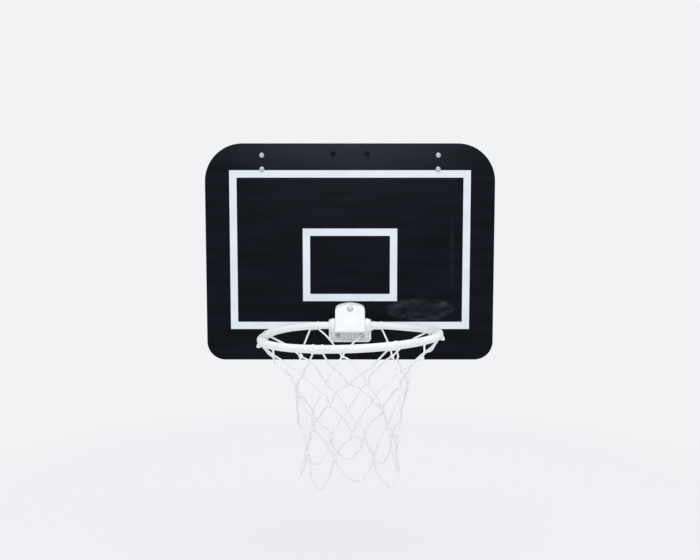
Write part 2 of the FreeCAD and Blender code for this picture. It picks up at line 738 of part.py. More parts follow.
def ring_cut(name, outer, bore_height):
    """Piece along Y with a clearance hole for a screw, as a cut of two primitives."""
    bore = doc.addObject("Part::Cylinder", f"{name}_bore")
    bore.setExpression("Radius", "dims.screw_diameter / 2 + dims.fit_clearance")
    bore.setExpression("Height", bore_height)
    for item in (outer, bore):
        item.Placement.Rotation = FreeCAD.Rotation(X_AXIS, -90)
    cut = doc.addObject("Part::Cut", name)
    cut.Base = outer
    cut.Tool = bore
    return cut


def make_washers_and_nuts():
    """A washer and a hexagon nut on each screw, behind the board."""
    disc = doc.addObject("Part::Cylinder", "washer_disc")
    disc.setExpression("Radius", "dims.washer_diameter / 2")
    disc.setExpression("Height", "dims.washer_thickness")
    washer = ring_cut("washer", disc, "dims.washer_thickness")
    prism = doc.addObject("Part::Prism", "nut_prism")
    prism.Polygon = 6
    prism.setExpression("Circumradius", "dims.nut_flats / sqrt(3)")
    prism.setExpression("Height", "dims.nut_height")
    nut = ring_cut("nut", prism, "dims.nut_height")
    base, hood = screw_places("0")
    group("fixing_washers", washer, base + hood)
    base, hood = screw_places("dims.washer_thickness")
    group("fixing_nuts", nut, base + hood)


def rod_section(body, name, across, ahead, radius):
    """Section of the rod at a distance across, at a radius from an upright axis ahead of the hinge."""
    section = new_sketch(body, name, "YZ_Plane", across)
    section.setExpression("AttachmentOffset.Base.x", f"-{ahead}")
    circle(section, radius, "0", "dims.rod_diameter")
    return section


def make_rim_ring():
    """Rod bent to a ring: one large arc, two bends and two straight ends on the hinge axis."""
    body = new_body("rim_ring")
    front = rod_section(body, "rim_front", "0", RIM_DEPTH, "-dims.rim_diameter / 2")
    revolve(body, front, "V_Axis", f"360 deg - 2 * {RIM_TURN}").Midplane = True
    for side, sign in SIDES:
        across = f"{sign} * {HALF_BAR}"
        bend = rod_section(body, f"rim_bend_{side}", across, "dims.rim_bend", "dims.rim_bend")
        revolve(body, bend, "V_Axis", RIM_TURN).Reversed = sign > 0
        inner = "dims.rod_end_gap / 2"
        start = inner if sign > 0 else f"-{HALF_BAR}"
        pad(body, rod_section(body, f"rim_bar_{side}", start, "0", "0"), f"{HALF_BAR} - {inner}")
    doc.recompute()
    pin_holes(body, "rim_pin_holes")
    place_on_hinge(body)
    return keep(body, "rim_ring")


def pin_holes(body, name):
    """Two upright holes for the pins that lock the rod in the core."""
    holes = new_sketch(body, name, "XY_Plane")
    for _, sign in SIDES:
        circle(holes, f"{sign} * dims.pin_spacing / 2", "0", "dims.pin_diameter + 2 * dims.fit_clearance")
    pocket(body, holes)


def make_hinge_core():
    """Hub on the rod's ends, with a lug to the back that ends in a bar under the spring legs."""
    body = new_body("hinge_core")
    hub = new_sketch(body, "core_hub", "YZ_Plane")
    circle(hub, "0", "0", "dims.core_diameter")
    pad(body, hub, "dims.core_length", symmetric=True)
    lug = new_sketch(body, "core_lug", "YZ_Plane")
    rectangle(lug, "0", "dims.lug_reach", "-dims.lug_height / 2", "dims.lug_height / 2")
    pad(body, lug, "dims.lug_width", symmetric=True)
    bar = new_sketch(body, "core_bar", "YZ_Plane")
    bar_top = "(dims.spring_coil - dims.spring_wire) / 2 - dims.seat_clearance"
    rectangle(bar, "dims.lug_reach - dims.crossbar_depth", "dims.lug_reach",
              "-dims.lug_height / 2", bar_top)
    pad(body, bar, "dims.crossbar_width", symmetric=True)
    bore = new_sketch(body, "core_bore", "YZ_Plane")
    circle(bore, "0", "0", "dims.rod_diameter + 2 * dims.fit_clearance")
    pocket(body, bore)
    pin_holes(body, "core_pin_holes")
    place_on_hinge(body)
    return keep(body, "hinge_core")


def make_core_pins():
    """Two upright pins through the core and the rod's ends."""
    pin = doc.addObject("Part::Cylinder", "core_pin")
    pin.setExpression("Radius", "dims.pin_diameter / 2")
    pin.setExpression("Height", "dims.pin_length")
    depth = "-dims.board_thickness - dims.hinge_out"
    low = f"{BOARD_BOTTOM} + dims.rim_rise - dims.pin_length / 2"
    return group("core_pins", pin, [(f"{sign} * dims.pin_spacing / 2", depth, low) for _, sign in SIDES])


def tangent_arc(start, corner, end):
    """Arc between two points whose tangents meet at a corner equally far from both."""
    middle = (start + end) * 0.5
    half_chord = (end - start).Length / 2
    turn = math.acos(min(1.0, half_chord / (corner - start).Length))
    rise = math.tan(turn / 2) / math.tan(turn)
    return Part.Arc(start, middle + (corner - middle) * rise, end).toShape()


def biarc(start, leave, end, arrive):
    """Two tangent arcs between two points, leaving and arriving in given directions."""
    chord = end - start
    both = leave + arrive
    spread = both.dot(both) - 4
    across = chord.dot(both)
    reach = (across - math.sqrt(across ** 2 - spread * chord.dot(chord))) / spread
    first, second = start + leave * reach, end - arrive * reach
    joint = (first + second) * 0.5
    return [tangent_arc(start, first, joint), tangent_arc(joint, second, end)]


def make_return_spring(side, sign):
    """Torsion spring on the core: one leg on the core's bar, coils, and one leg under a catch."""
    radius, wire = size("spring_coil") / 2, size("spring_wire")
    turns = size("spring_turns") + 0.5
    quarters = round(4 * turns)

    def point(quarter):
        angle = math.pi / 2 * (1 + quarter)
        across = size("spring_start") + size("spring_length") * quarter / quarters
        return Vector(sign * across, radius * math.cos(angle), radius * math.sin(angle))

    def direction(quarter):
        angle = math.pi / 2 * (1 + quarter)
        climb = size("spring_length") / (turns * 2 * math.pi)
        heading = Vector(sign * climb, -radius * math.sin(angle), radius * math.cos(angle))
        return heading.normalize()

    tip = point(0) - direction(0) * size("spring_leg")
    foot = point(quarters) + direction(quarters) * size("spring_leg")
    edges = [Part.LineSegment(tip, point(0)).toShape()]
    for quarter in range(quarters):
        edges += biarc(point(quarter), direction(quarter), point(quarter + 1), direction(quarter + 1))
    edges.append(Part.LineSegment(point(quarters), foot).toShape())
    path = Part.Wire(edges)
    pipe = Part.BRepOffsetAPI.MakePipeShell(path)
    corners = flat_round(tip, direction(0), wire / 2, WIRE_SIDES)
    pipe.add(Part.makePolygon(corners + corners[:1]))
    pipe.build()
    pipe.makeSolid()
    print(f"return_spring_{side}: least gap to itself {least_gap(path, wire):.2f} mm")
    feature = doc.addObject("Part::Feature", f"return_spring_{side}")
    feature.Shape = pipe.shape()
    place_on_hinge(feature)
    return keep(feature, f"return_spring_{side}")


def least_gap(path, wire):
    """Least distance between the surfaces of two stretches of one wire, measured on points."""
    step = wire / 4
    points = path.discretize(Distance=step)
    apart = math.ceil(2 * wire / step)
    gaps = []
    for index, here in enumerate(points):
        gaps += [here.distanceToPoint(there) - wire for there in points[index + apart:]]
    return min(gaps)


def flat_round(centre, normal, radius, sides):
    """Corners of a flat-sided round section square to a direction."""
    turned = FreeCAD.Rotation(Z_AXIS, normal)
    corners = []
    for index in range(sides):
        angle = 2 * math.pi * index / sides
        corners.append(centre + turned.multVec(Vector(math.cos(angle), math.sin(angle), 0)) * radius)
    return corners


def rim_reach():
    """Length of the rod's path from its front to the start of a straight end."""
    turn = math.radians(number(RIM_TURN))
    return size("rim_diameter") / 2 * (math.pi - turn) + size("rim_bend") * turn


def rim_point(distance):
    """Point and direction on the rim's path, by distance along it from the front towards +X."""
    radius, bend = size("rim_diameter") / 2, size("rim_bend")
    sign = 1 if distance >= 0 else -1
    angle = abs(distance) / radius
    largest = math.pi - math.radians(number(RIM_TURN))
    if angle <= largest:
        centre, arm = Vector(0, -number(RIM_DEPTH), 0), radius
    else:
        angle = largest + (abs(distance) - largest * radius) / bend
        centre, arm = Vector(sign * number(HALF_BAR), -bend, 0), bend
    offset = Vector(sign * arm * math.sin(angle), -arm * math.cos(angle), 0)
    return centre + offset, Vector(math.cos(angle), sign * math.sin(angle), 0)


def cord_run(start, end, pressed=1.0):
    """Straight run of cord with flat sides, its height pressed to a share of the cord's."""
    corners = []
    for corner in flat_round(start, end - start, size("net_cord") / 2, CORD_SIDES):
        corners.append(Vector(corner.x, corner.y, start.z + (corner.z - start.z) * pressed))
    return Part.Face(Part.makePolygon(corners + corners[:1])).extrude(end - start)


def cord_wrap(centre, heading):
    """Turn of cord drawn flat round the rod, in flat steps."""
    cord, flat = size("net_cord") / 2, size("net_wrap_thickness") / 2
    arm = (size("rod_diameter") / 2 + size("net_wrap_clearance") + flat) / math.cos(math.pi / WRAP_STEPS)
    outward = heading.cross(Z_AXIS)
    rings = []
    for step in range(WRAP_STEPS):
        angle = 2 * math.pi * step / WRAP_STEPS
        spoke = outward * math.sin(angle) - Z_AXIS * math.cos(angle)
        corners = []
        for index in range(CORD_SIDES):
            turn = 2 * math.pi * (index + 0.5) / CORD_SIDES
            away = spoke * (arm + flat * math.cos(turn))
            corners.append(centre + away + heading * (cord * math.sin(turn)))
        rings.append(corners)
    faces = []
    for ring, following in zip(rings, rings[1:] + rings[:1]):
        for index in range(CORD_SIDES):
            after = (index + 1) % CORD_SIDES
            quad = [ring[index], ring[after], following[after], following[index], ring[index]]
            faces.append(Part.Face(Part.makePolygon(quad)))
    return Part.Solid(Part.makeShell(faces))


def knot(centre):
    """Tied knot: a short upright barrel with drawn-in ends."""
    half, waist = size("net_knot_length") / 2, size("net_knot") / 2
    rings = []
    for height, width in ((-half, waist / 2), (-half / 2, waist), (half / 2, waist), (half, waist / 2)):
        corners = []
        for index in range(CORD_SIDES):
            angle = 2 * math.pi * index / CORD_SIDES
            corners.append(centre + Vector(width * math.cos(angle), width * math.sin(angle), height))
        rings.append(Part.makePolygon(corners + corners[:1]))
    return Part.makeLoft(rings, True, True)


def net_point(row, column):
    """Knot of a row, counted from the wraps down; odd rows lie between the wraps."""
    meshes = int(size("net_meshes"))
    alias = f"net_row{row}" if row <= 4 else "net_loop"
    shift = size("net_shift") / (size("rim_diameter") / 2)
    angle = shift + 2 * math.pi * (column + (0 if row % 2 else 0.5)) / meshes
    reach = size(f"{alias}_diameter") / 2
    depth = number(RIM_DEPTH) + reach * math.cos(angle)
    return Vector(reach * math.sin(angle), -depth, -size(f"{alias}_drop"))


def make_net():
    """Net of one cord: double wraps on the rim, rows of knots joined by runs, and hanging loops."""
    meshes = int(size("net_meshes"))
    thickness = size("net_wrap_thickness")
    hang = size("rod_diameter") / 2 + size("net_wrap_clearance") + thickness
    half_pair = size("net_wrap_spacing") / 2
    last = rim_reach() - size("net_shift") - half_pair - size("net_end_gap")
    pieces = []
    for column in range(-(meshes // 2), meshes - meshes // 2):
        middle = size("net_shift") + last * (2 * column + 1) / (meshes - 1)
        feet = []
        for side in (-1, 1):
            centre, heading = rim_point(middle + side * half_pair)
            pieces.append(cord_wrap(centre, heading))
            feet.append(centre - Z_AXIS * hang)
        pieces.append(cord_run(*[foot + Z_AXIS * thickness / 2 for foot in feet],
                               pressed=thickness / size("net_cord")))
        pieces.append(cord_run(feet[0], net_point(1, column)))
        pieces.append(cord_run(feet[1], net_point(1, column + 1)))
        for row in (1, 2, 3, 4):
            pieces.append(knot(net_point(row, column)))
        for row in (1, 2, 3):
            back = -1 if row % 2 else 0
            for step in (back, back + 1):
                pieces.append(cord_run(net_point(row, column), net_point(row + 1, column + step)))
        bottom = net_point(5, column)
        sideways = Vector(bottom.y + number(RIM_DEPTH), -bottom.x, 0).normalize()
        sideways *= -size("net_loop_width") / 2
        ends = (bottom - sideways, bottom + sideways)
        pieces.append(cord_run(net_point(4, column - 1), ends[0]))
        pieces.append(cord_run(net_point(4, column), ends[1]))
        pieces.append(cord_run(*ends))
    feature = doc.addObject("Part::Feature", "net")
    feature.Shape = pieces[0].multiFuse(pieces[1:])
    place_on_hinge(feature)
    return keep(feature, "net")


def write_parts():
    """Check every object and write each sub-part to its own file."""
    doc.recompute()
    for obj in doc.Objects:
        if any(word in obj.State for word in ("Invalid", "Error")):
            raise RuntimeError(f"{obj.Label} failed: {obj.State}")
    for part in sub_parts:
        if part.Shape.isNull() or not part.Shape.isValid():
            raise RuntimeError(f"{part.Label} has no valid shape")
    os.makedirs("parts", exist_ok=True)
    for part in sub_parts:
        part.Shape.exportStep(f"parts/{part.Label}.step")
        print(f"{part.Label}: {len(part.Shape.Solids)} solids, {part.Shape.Volume:.0f} mm3")


make_backboard()
make_border_line()
make_target_line()
for side, sign in SIDES:
    make_door_hook(side, sign)
    make_strap_pad(side, sign)
    make_hook_pad(side, sign)
    make_bumper(side, sign)
make_hook_rivets()
make_base_plate()
make_hood()
for side, sign in SIDES:
    make_rim_bush(side, sign)
    make_return_spring(side, sign)
make_screws()
make_washers_and_nuts()
make_rim_ring()
make_hinge_core()
make_core_pins()
make_net()
write_parts()
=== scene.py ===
"""Looks of an over-the-door basketball backboard: board, door hooks, sprung rim and cord net.

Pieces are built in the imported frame: X to the right, Y to the back, Z up, in metres. The sizes that
the classes hold are in millimetres and become metres when a mesh is made.
"""
import json
import logging
import math
import random
from dataclasses import dataclass, field
from enum import Enum
from typing import Any, Callable, Optional, Sequence

import bmesh
import bpy
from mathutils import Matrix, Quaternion, Vector

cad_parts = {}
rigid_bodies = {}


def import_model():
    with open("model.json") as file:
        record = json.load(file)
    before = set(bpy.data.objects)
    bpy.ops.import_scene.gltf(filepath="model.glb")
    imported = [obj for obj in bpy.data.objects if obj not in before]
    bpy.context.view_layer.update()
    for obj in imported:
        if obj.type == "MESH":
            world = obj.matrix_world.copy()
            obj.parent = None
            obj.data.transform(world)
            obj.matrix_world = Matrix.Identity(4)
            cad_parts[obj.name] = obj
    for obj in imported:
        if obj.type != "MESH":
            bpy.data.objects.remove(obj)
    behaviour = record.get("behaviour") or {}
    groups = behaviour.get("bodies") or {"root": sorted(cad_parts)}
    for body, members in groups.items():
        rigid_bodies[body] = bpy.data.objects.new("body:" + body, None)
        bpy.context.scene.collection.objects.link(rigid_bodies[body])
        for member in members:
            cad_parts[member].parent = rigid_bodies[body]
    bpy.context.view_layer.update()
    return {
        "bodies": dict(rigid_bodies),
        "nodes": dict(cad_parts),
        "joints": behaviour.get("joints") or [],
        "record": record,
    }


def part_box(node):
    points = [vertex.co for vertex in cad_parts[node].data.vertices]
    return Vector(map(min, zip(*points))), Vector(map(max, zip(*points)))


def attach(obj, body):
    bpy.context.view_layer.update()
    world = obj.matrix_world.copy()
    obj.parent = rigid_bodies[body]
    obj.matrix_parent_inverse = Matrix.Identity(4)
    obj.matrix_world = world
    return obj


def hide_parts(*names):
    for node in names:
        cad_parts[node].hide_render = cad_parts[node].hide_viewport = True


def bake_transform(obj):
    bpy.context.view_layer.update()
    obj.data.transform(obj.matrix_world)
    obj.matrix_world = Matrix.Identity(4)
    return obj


LOG = logging.getLogger("backboard")
MM = 0.001
UP = Vector((0, 0, 1))

# Edges that turn by more than this stay sharp: on hard pieces, nuts, foam and cord
SHARP_DEG, NUT_DEG, FOAM_DEG, CORD_DEG = 40.0, 25.0, 60.0, 75.0
# Points nearer than this are one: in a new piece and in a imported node
PIECE_WELD_MM, NODE_WELD_MM = 0.001, 0.002
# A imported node's faces within the first angle are one flat, and edges past the second are rounded
FLAT_DEG, ROUNDED_DEG, ROUND_STEPS = 1.0, 35.0, 3
# Sockets of a node that mixes colours
MIX_SHARE, MIX_FIRST, MIX_SECOND, MIX_RESULT = 0, 6, 7, 2

Pair = tuple[float, float]
Triple = tuple[float, float, float]
Outline = list[Pair]
Profile = Sequence[Pair]
Points = list[Vector]
Faces = list[tuple[int, ...]]
Solid = tuple[Points, Faces]
Section = Callable[[float], Profile]
Frame = dict[str, Any]
Tree = bpy.types.NodeTree
Socket = bpy.types.NodeSocket


class Body(Enum):
    """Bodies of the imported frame."""

    BOARD = "board"
    RIM = "rim"


class Side(Enum):
    """Left and right as the sign of X."""

    LEFT = -1
    RIGHT = 1

    @property
    def word(self) -> str:
        """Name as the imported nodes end."""
        return self.name.lower()


class Facing(Enum):
    """Way that a free face looks, as the sign of Y."""

    FRONT = -1
    BACK = 1


class Axis(Enum):
    """Directions that a turned piece stands along."""

    BACK = (0, 1, 0)
    RIGHT = (1, 0, 0)


def linear(colour: str) -> tuple[float, float, float, float]:
    """Turn an sRGB hex colour into linear light.

    Args:
        colour: Six hex digits after a hash sign.

    Returns:
        Red, green, blue and a full alpha.
    """
    shares = [int(colour[start:start + 2], 16) / 255 for start in (1, 3, 5)]
    return (*(s / 12.92 if s <= 0.04045 else ((s + 0.055) / 1.055) ** 2.4 for s in shares), 1.0)


def per_metre(millimetres: float) -> float:
    """Scale of a pattern whose features are so many millimetres wide."""
    return 1 / (millimetres * MM)


def add_node(tree: Tree, kind: str, inputs: Optional[dict[Any, Any]] = None,
             **settings: Any) -> bpy.types.Node:
    """Add a node, set its options, and set or link its sockets.

    Args:
        tree: Tree that gets the node.
        kind: Blender's name of the node type.
        inputs: Values or output sockets by the input's name or number.
        **settings: The node's own options.

    Returns:
        The new node.
    """
    node = tree.nodes.new(kind)
    for option, value in settings.items():
        setattr(node, option, value)
    for key, value in (inputs or {}).items():
        if isinstance(value, Socket):
            tree.links.new(value, node.inputs[key])
        else:
            node.inputs[key].default_value = value
    return node


@dataclass(frozen=True)
class Finish:
    """Surface of one real material, as it left the maker's process.

    A finish varies a little in colour and gloss at the size of its mottling, and its texture is a
    bump whose width and depth are real sizes.
    """

    name: str
    slot: str
    colour: str
    dark: str
    roughness: float
    spread: float = 0.08
    metallic: float = 0.0
    specular: float = 0.5
    sheen: float = 0.0
    mottle_mm: float = 12.0
    texture_mm: float = 0.8
    texture_depth_mm: float = 0.02
    texture_detail: float = 2.0
    # Part of the noise over which the main colour gives way to the dark one
    drift: Pair = (0.35, 0.65)

    def material(self) -> bpy.types.Material:
        """Make the material once and give the same one afterwards.

        Returns:
            The material of this finish.
        """
        known = bpy.data.materials.get(self.name)
        if known is not None:
            return known
        material = bpy.data.materials.new(self.name)
        material.use_nodes = True
        tree = material.node_tree
        shader = tree.nodes["Principled BSDF"]
        shader.inputs["Metallic"].default_value = self.metallic
        shader.inputs["Specular IOR Level"].default_value = self.specular
        shader.inputs["Sheen Weight"].default_value = self.sheen
        where = add_node(tree, "ShaderNodeTexCoord").outputs["Object"]
        colour, gloss = self.coat(tree, where)
        bump = add_node(tree, "ShaderNodeBump", {
            "Height": self.texture(tree, where), "Distance": self.texture_depth_mm * MM})
        tree.links.new(colour, shader.inputs["Base Color"])
        tree.links.new(gloss, shader.inputs["Roughness"])
        tree.links.new(bump.outputs["Normal"], shader.inputs["Normal"])
        return material

    def coat(self, tree: Tree, where: Socket) -> tuple[Socket, Socket]:
        """Colour and roughness that drift over the surface.

        Args:
            tree: The material's tree.
            where: Place on the piece, in metres.

        Returns:
            The colour's socket and the roughness's socket.
        """
        noise = add_node(tree, "ShaderNodeTexNoise", {
            "Vector": where, "Scale": per_metre(self.mottle_mm), "Detail": 4.0}).outputs["Fac"]
        share = add_node(tree, "ShaderNodeMapRange", {
            "Value": noise, "From Min": self.drift[0], "From Max": self.drift[1]}).outputs["Result"]
        colour = add_node(tree, "ShaderNodeMix", {
            MIX_SHARE: share, MIX_FIRST: linear(self.colour), MIX_SECOND: linear(self.dark)},
            data_type="RGBA").outputs[MIX_RESULT]
        gloss = add_node(tree, "ShaderNodeMapRange", {
            "Value": share, "To Min": self.roughness - self.spread / 2,
            "To Max": self.roughness + self.spread / 2}).outputs["Result"]
        return colour, gloss

    def texture(self, tree: Tree, where: Socket) -> Socket:
        """Height of the surface's fine texture.

        Args:
            tree: The material's tree.
            where: Place on the piece, in metres.

        Returns:
            The height's socket, from 0 to 1.
        """
        return add_node(tree, "ShaderNodeTexNoise", {
            "Vector": where, "Scale": per_metre(self.texture_mm),
            "Detail": self.texture_detail}).outputs["Fac"]


@dataclass(frozen=True)
class Patch:
    """Oval mark in X and Z: its middle and half sizes, in millimetres, and its strength."""

    x: float = 0.0
    z: float = 0.0
    half_x: float = 1.0
    half_z: float = 1.0
    strength: float = 0.0


@dataclass(frozen=True)
class ScuffedSheet(Finish):
    """Satin sheet, rolled in one direction, with a ball's chalky mark, a trace and a painted
    reflection on its front.

    The front is at front_mm along Y, and the marks die out skin_mm behind it.
    """

    # Colour of the chalk, which the painted reflection takes on as well
    chalk_and_reflection_colour: str = "#7d848f"
    ball_mark: Patch = Patch()
    trace: Patch = Patch()
    # Soft lighter ovals of painted reflection, added to the chalk's marks
    painted_reflection: tuple[Patch, ...] = ()
    front_mm: float = -5.0
    skin_mm: float = 4.0
    # How much rougher the sheet is under full chalk and under the painted reflection
    dulling: float = 0.35
    # Stretch of the mottling along X, Y and Z
    roll: Triple = (0.35, 1.0, 2.6)
    # Length and height of the smears, and the part of the noise that they are cut from
    smear_mm: Pair = (20.0, 7.0)
    smear_cut: Pair = (0.3, 0.75)
    # How far the border of the ball's mark strays, and over what length
    wobble_mm: Pair = (9.0, 24.0)
    # Strength in the middle of the ball's mark, as a share of the strength near its border
    hollow: float = 0.45
    # Reaches, with a mark's border at 1: where an oval fades, and where a ring fills up and ends
    oval_fade: Pair = (0.2, 1.0)
    ring_fill: Pair = (0.45, 0.82)
    ring_end: Pair = (0.86, 1.1)

    def coat(self, tree: Tree, where: Socket) -> tuple[Socket, Socket]:
        """Lay chalk and a painted reflection over the mottled sheet.

        Args:
            tree: The material's tree.
            where: Place on the piece, in metres.

        Returns:
            The colour's socket and the roughness's socket.
        """
        rolled = add_node(tree, "ShaderNodeMapping", {"Vector": where, "Scale": self.roll})
        colour, gloss = super().coat(tree, rolled.outputs["Vector"])
        marks = add_node(tree, "ShaderNodeMath", {
            0: self.ring(tree, where), 1: self.oval(tree, where, self.trace)}, operation="MAXIMUM")
        chalk_and_reflection = add_node(tree, "ShaderNodeMath", {
            0: marks.outputs[0], 1: self.smears(tree, where)}, operation="MULTIPLY").outputs[0]
        # Add the ovals of painted reflection to the chalk's marks
        for layer in self.painted_reflection:
            chalk_and_reflection = add_node(tree, "ShaderNodeMath", {
                0: chalk_and_reflection, 1: self.oval(tree, where, layer)}, operation="ADD").outputs[0]
        chalk_and_reflection_mix = add_node(tree, "ShaderNodeMix", {
            MIX_SHARE: chalk_and_reflection, MIX_FIRST: colour, MIX_SECOND: linear(self.chalk_and_reflection_colour)}, data_type="RGBA")
        dulled = add_node(tree, "ShaderNodeMath", {
            0: chalk_and_reflection, 1: self.dulling, 2: gloss}, operation="MULTIPLY_ADD")
        return chalk_and_reflection_mix.outputs[MIX_RESULT], dulled.outputs[0]

    def smears(self, tree: Tree, where: Socket) -> Socket:
        """Broken smears that run across the sheet.

        Args:
            tree: The material's tree.
            where: Place on the piece, in metres.

        Returns:
            The smears' socket, from 0 to 1.
        """
        along, across = (per_metre(size) for size in self.smear_mm)
        stretched = add_node(tree, "ShaderNodeMapping", {
            "Vector": where, "Scale": (along, along, across)}).outputs["Vector"]
        noise = add_node(tree, "ShaderNodeTexNoise", {
            "Vector": stretched, "Scale": 1.0, "Detail": 1.5, "Distortion": 0.9}).outputs["Fac"]
        return add_node(tree, "ShaderNodeMapRange", {
            "Value": noise, "From Min": self.smear_cut[0],
            "From Max": self.smear_cut[1]}).outputs["Result"]

    def reach(self, tree: Tree, where: Socket, mark: Patch, aside: float = 0.0) -> Socket:
        """Distance from a mark's middle on the front, counted so that its border is at 1.

        Args:
            tree: The material's tree.
            where: Place on the piece, in metres.
            mark: The mark.
            aside: How far its middle is moved in X and Z, in millimetres.

        Returns:
            The distance's socket.
        """
        local = add_node(tree, "ShaderNodeMapping", {
            "Vector": where,
            "Location": ((mark.x + aside) * MM, self.front_mm * MM, (mark.z + aside) * MM),
            "Scale": (mark.half_x * MM, self.skin_mm * MM, mark.half_z * MM)},
            vector_type="TEXTURE").outputs["Vector"]
        length = add_node(tree, "ShaderNodeVectorMath", {0: local}, operation="LENGTH")
        return length.outputs["Value"]

    def oval(self, tree: Tree, where: Socket, mark: Patch) -> Socket:
        """Soft oval that fades from its middle to its border.

        Args:
            tree: The material's tree.
            where: Place on the piece, in metres.
            mark: The oval.

        Returns:
            The strength's socket.
        """
        return add_node(tree, "ShaderNodeMapRange", {
            "Value": self.reach(tree, where, mark), "From Min": self.oval_fade[0],
            "From Max": self.oval_fade[1], "To Min": mark.strength, "To Max": 0.0},
            interpolation_type="SMOOTHSTEP").outputs["Result"]

    def ring(self, tree: Tree, where: Socket) -> Socket:
        """Uneven oval ring, hollow in its middle, that a dusty ball leaves.

        Args:
            tree: The material's tree.
            where: Place on the piece, in metres.

        Returns:
            The strength's socket.
        """
        swing, width = self.wobble_mm
        strength = self.ball_mark.strength
        noise = add_node(tree, "ShaderNodeTexNoise", {
            "Vector": where, "Scale": per_metre(width), "Detail": 1.0}).outputs["Color"]
        moved = add_node(tree, "ShaderNodeVectorMath", {
            0: noise, 1: (swing * MM, 0, swing * MM), 2: where},
            operation="MULTIPLY_ADD").outputs["Vector"]
        reach = self.reach(tree, moved, self.ball_mark, swing / 2)
        inside = add_node(tree, "ShaderNodeMapRange", {
            "Value": reach, "From Min": self.ring_fill[0], "From Max": self.ring_fill[1],
            "To Min": strength * self.hollow, "To Max": strength},
            interpolation_type="SMOOTHSTEP").outputs["Result"]
        border = add_node(tree, "ShaderNodeMapRange", {
            "Value": reach, "From Min": self.ring_end[0], "From Max": self.ring_end[1],
            "To Min": 1.0, "To Max": 0.0}, interpolation_type="SMOOTHSTEP").outputs["Result"]
        return add_node(tree, "ShaderNodeMath", {0: inside, 1: border},
                        operation="MULTIPLY").outputs[0]


@dataclass(frozen=True)
class CellFoam(Finish):
    """Closed-cell foam with its cut cells open at the skin, whose texture width is a cell's."""

    def texture(self, tree: Tree, where: Socket) -> Socket:
        """Height of the skin, lowest in the middle of a cell.

        Args:
            tree: The material's tree.
            where: Place on the piece, in metres.

        Returns:
            The height's socket.
        """
        return add_node(tree, "ShaderNodeTexVoronoi", {
            "Vector": where, "Scale": per_metre(self.texture_mm)}).outputs["Distance"]


# Extruded ABS sheet, calendered satin: a soft wide highlight, a blue-black body, chalk from balls,
# and painted reflection as a lighter haze towards the top
BOARD_BLACK = ScuffedSheet(
    "abs_sheet_satin_black", "board_black", "#11151d", "#0b0e14", roughness=0.36, specular=0.05,
    mottle_mm=34.0, texture_mm=1.6, texture_depth_mm=0.006, texture_detail=3.0,
    ball_mark=Patch(99.0, -218.0, 49.0, 16.0, 0.16), trace=Patch(144.0, -139.0, 6.0, 62.0, 0.06),
    # Painted reflection: two soft lighter ovals across the top of the front
    painted_reflection=(Patch(0.0, 26.0, 240.0, 74.0, 0.075), Patch(0.0, 26.0, 300.0, 190.0, 0.02)))
# Screen-printed ink: flat cool white whose film shows the mesh as a faint tooth
LINE_WHITE = Finish(
    "screen_ink_white", "line_white", "#ebf3fa", "#e3ecf4", roughness=0.5, mottle_mm=30.0,
    texture_mm=0.9, texture_depth_mm=0.008)
# Powder-coated strap steel: even black with the orange peel of the baked powder
HOOK_BLACK = Finish(
    "powder_coat_black_strap", "hook_black", "#15161a", "#101114", roughness=0.48, specular=0.25,
    mottle_mm=25.0, texture_mm=1.4, texture_depth_mm=0.03)
# Drawn aluminium blind rivets: pale metal, dulled by handling
RIVET_ALUMINIUM = Finish(
    "aluminium_rivet_drawn", "rivet_aluminium", "#c6c9ce", "#b8bbc0", roughness=0.4, spread=0.12,
    metallic=1.0, mottle_mm=3.0, texture_mm=0.5, texture_depth_mm=0.01)
# Closed-cell polyethylene foam: dull charcoal pricked with cut cells, drawn coarse enough to show
FOAM_BLACK = CellFoam(
    "polyethylene_foam_black", "foam_black", "#222326", "#19191b", roughness=0.9, specular=0.3,
    sheen=0.15, mottle_mm=9.0, texture_mm=0.9, texture_depth_mm=0.12)
# Injection-moulded ABS: clean cool white with a fine spark-eroded grain from the tool
BRACKET_WHITE = Finish(
    "abs_moulded_white", "bracket_white", "#f6f7fa", "#f0f2f5", roughness=0.4, mottle_mm=18.0,
    texture_mm=0.7, texture_depth_mm=0.012)
# Turned acetal bushes: milkier and slicker than the bracket
BUSH_WHITE = Finish(
    "acetal_bush_white", "bush_white", "#f6f7f9", "#f1f2f5", roughness=0.3, mottle_mm=8.0,
    texture_mm=0.4, texture_depth_mm=0.006)
# Glass-filled nylon: mid grey with a faint cloud of fibres under the skin
CORE_GREY = Finish(
    "nylon_glass_filled_grey", "core_grey", "#85898f", "#777b81", roughness=0.5, mottle_mm=3.5,
    texture_mm=0.6)
# Powder-coated steel rod: bright white, a soft sheen and light orange peel
RIM_WHITE = Finish(
    "powder_coat_white_rod", "rim_white", "#f7f8fa", "#f1f2f5", roughness=0.34, mottle_mm=22.0,
    texture_mm=1.3, texture_depth_mm=0.025)
# Twisted polyester cord: dry white yarns with a fuzz that catches light at the edges
NET_CORD = Finish(
    "polyester_cord_twisted", "net_cord", "#fbfbfe", "#f3f4f9", roughness=0.85, specular=0.2,
    sheen=0.25, mottle_mm=6.0, texture_mm=0.45, texture_depth_mm=0.015)
# Zinc-plated steel: silver with a slightly cloudy passivation
FASTENER_STEEL = Finish(
    "zinc_plated_steel", "fastener_steel", "#eef0f2", "#dfe3e7", roughness=0.42, spread=0.14,
    metallic=1.0, mottle_mm=2.5, texture_mm=0.5, texture_depth_mm=0.008)
# Zinc-flake steel screws: a dull pale grey without a mirror's sparkle
SCREW_GREY = Finish(
    "zinc_flake_steel", "screw_grey", "#d2d5d8", "#c6c9cd", roughness=0.6, mottle_mm=2.0,
    texture_mm=0.5, texture_depth_mm=0.01)
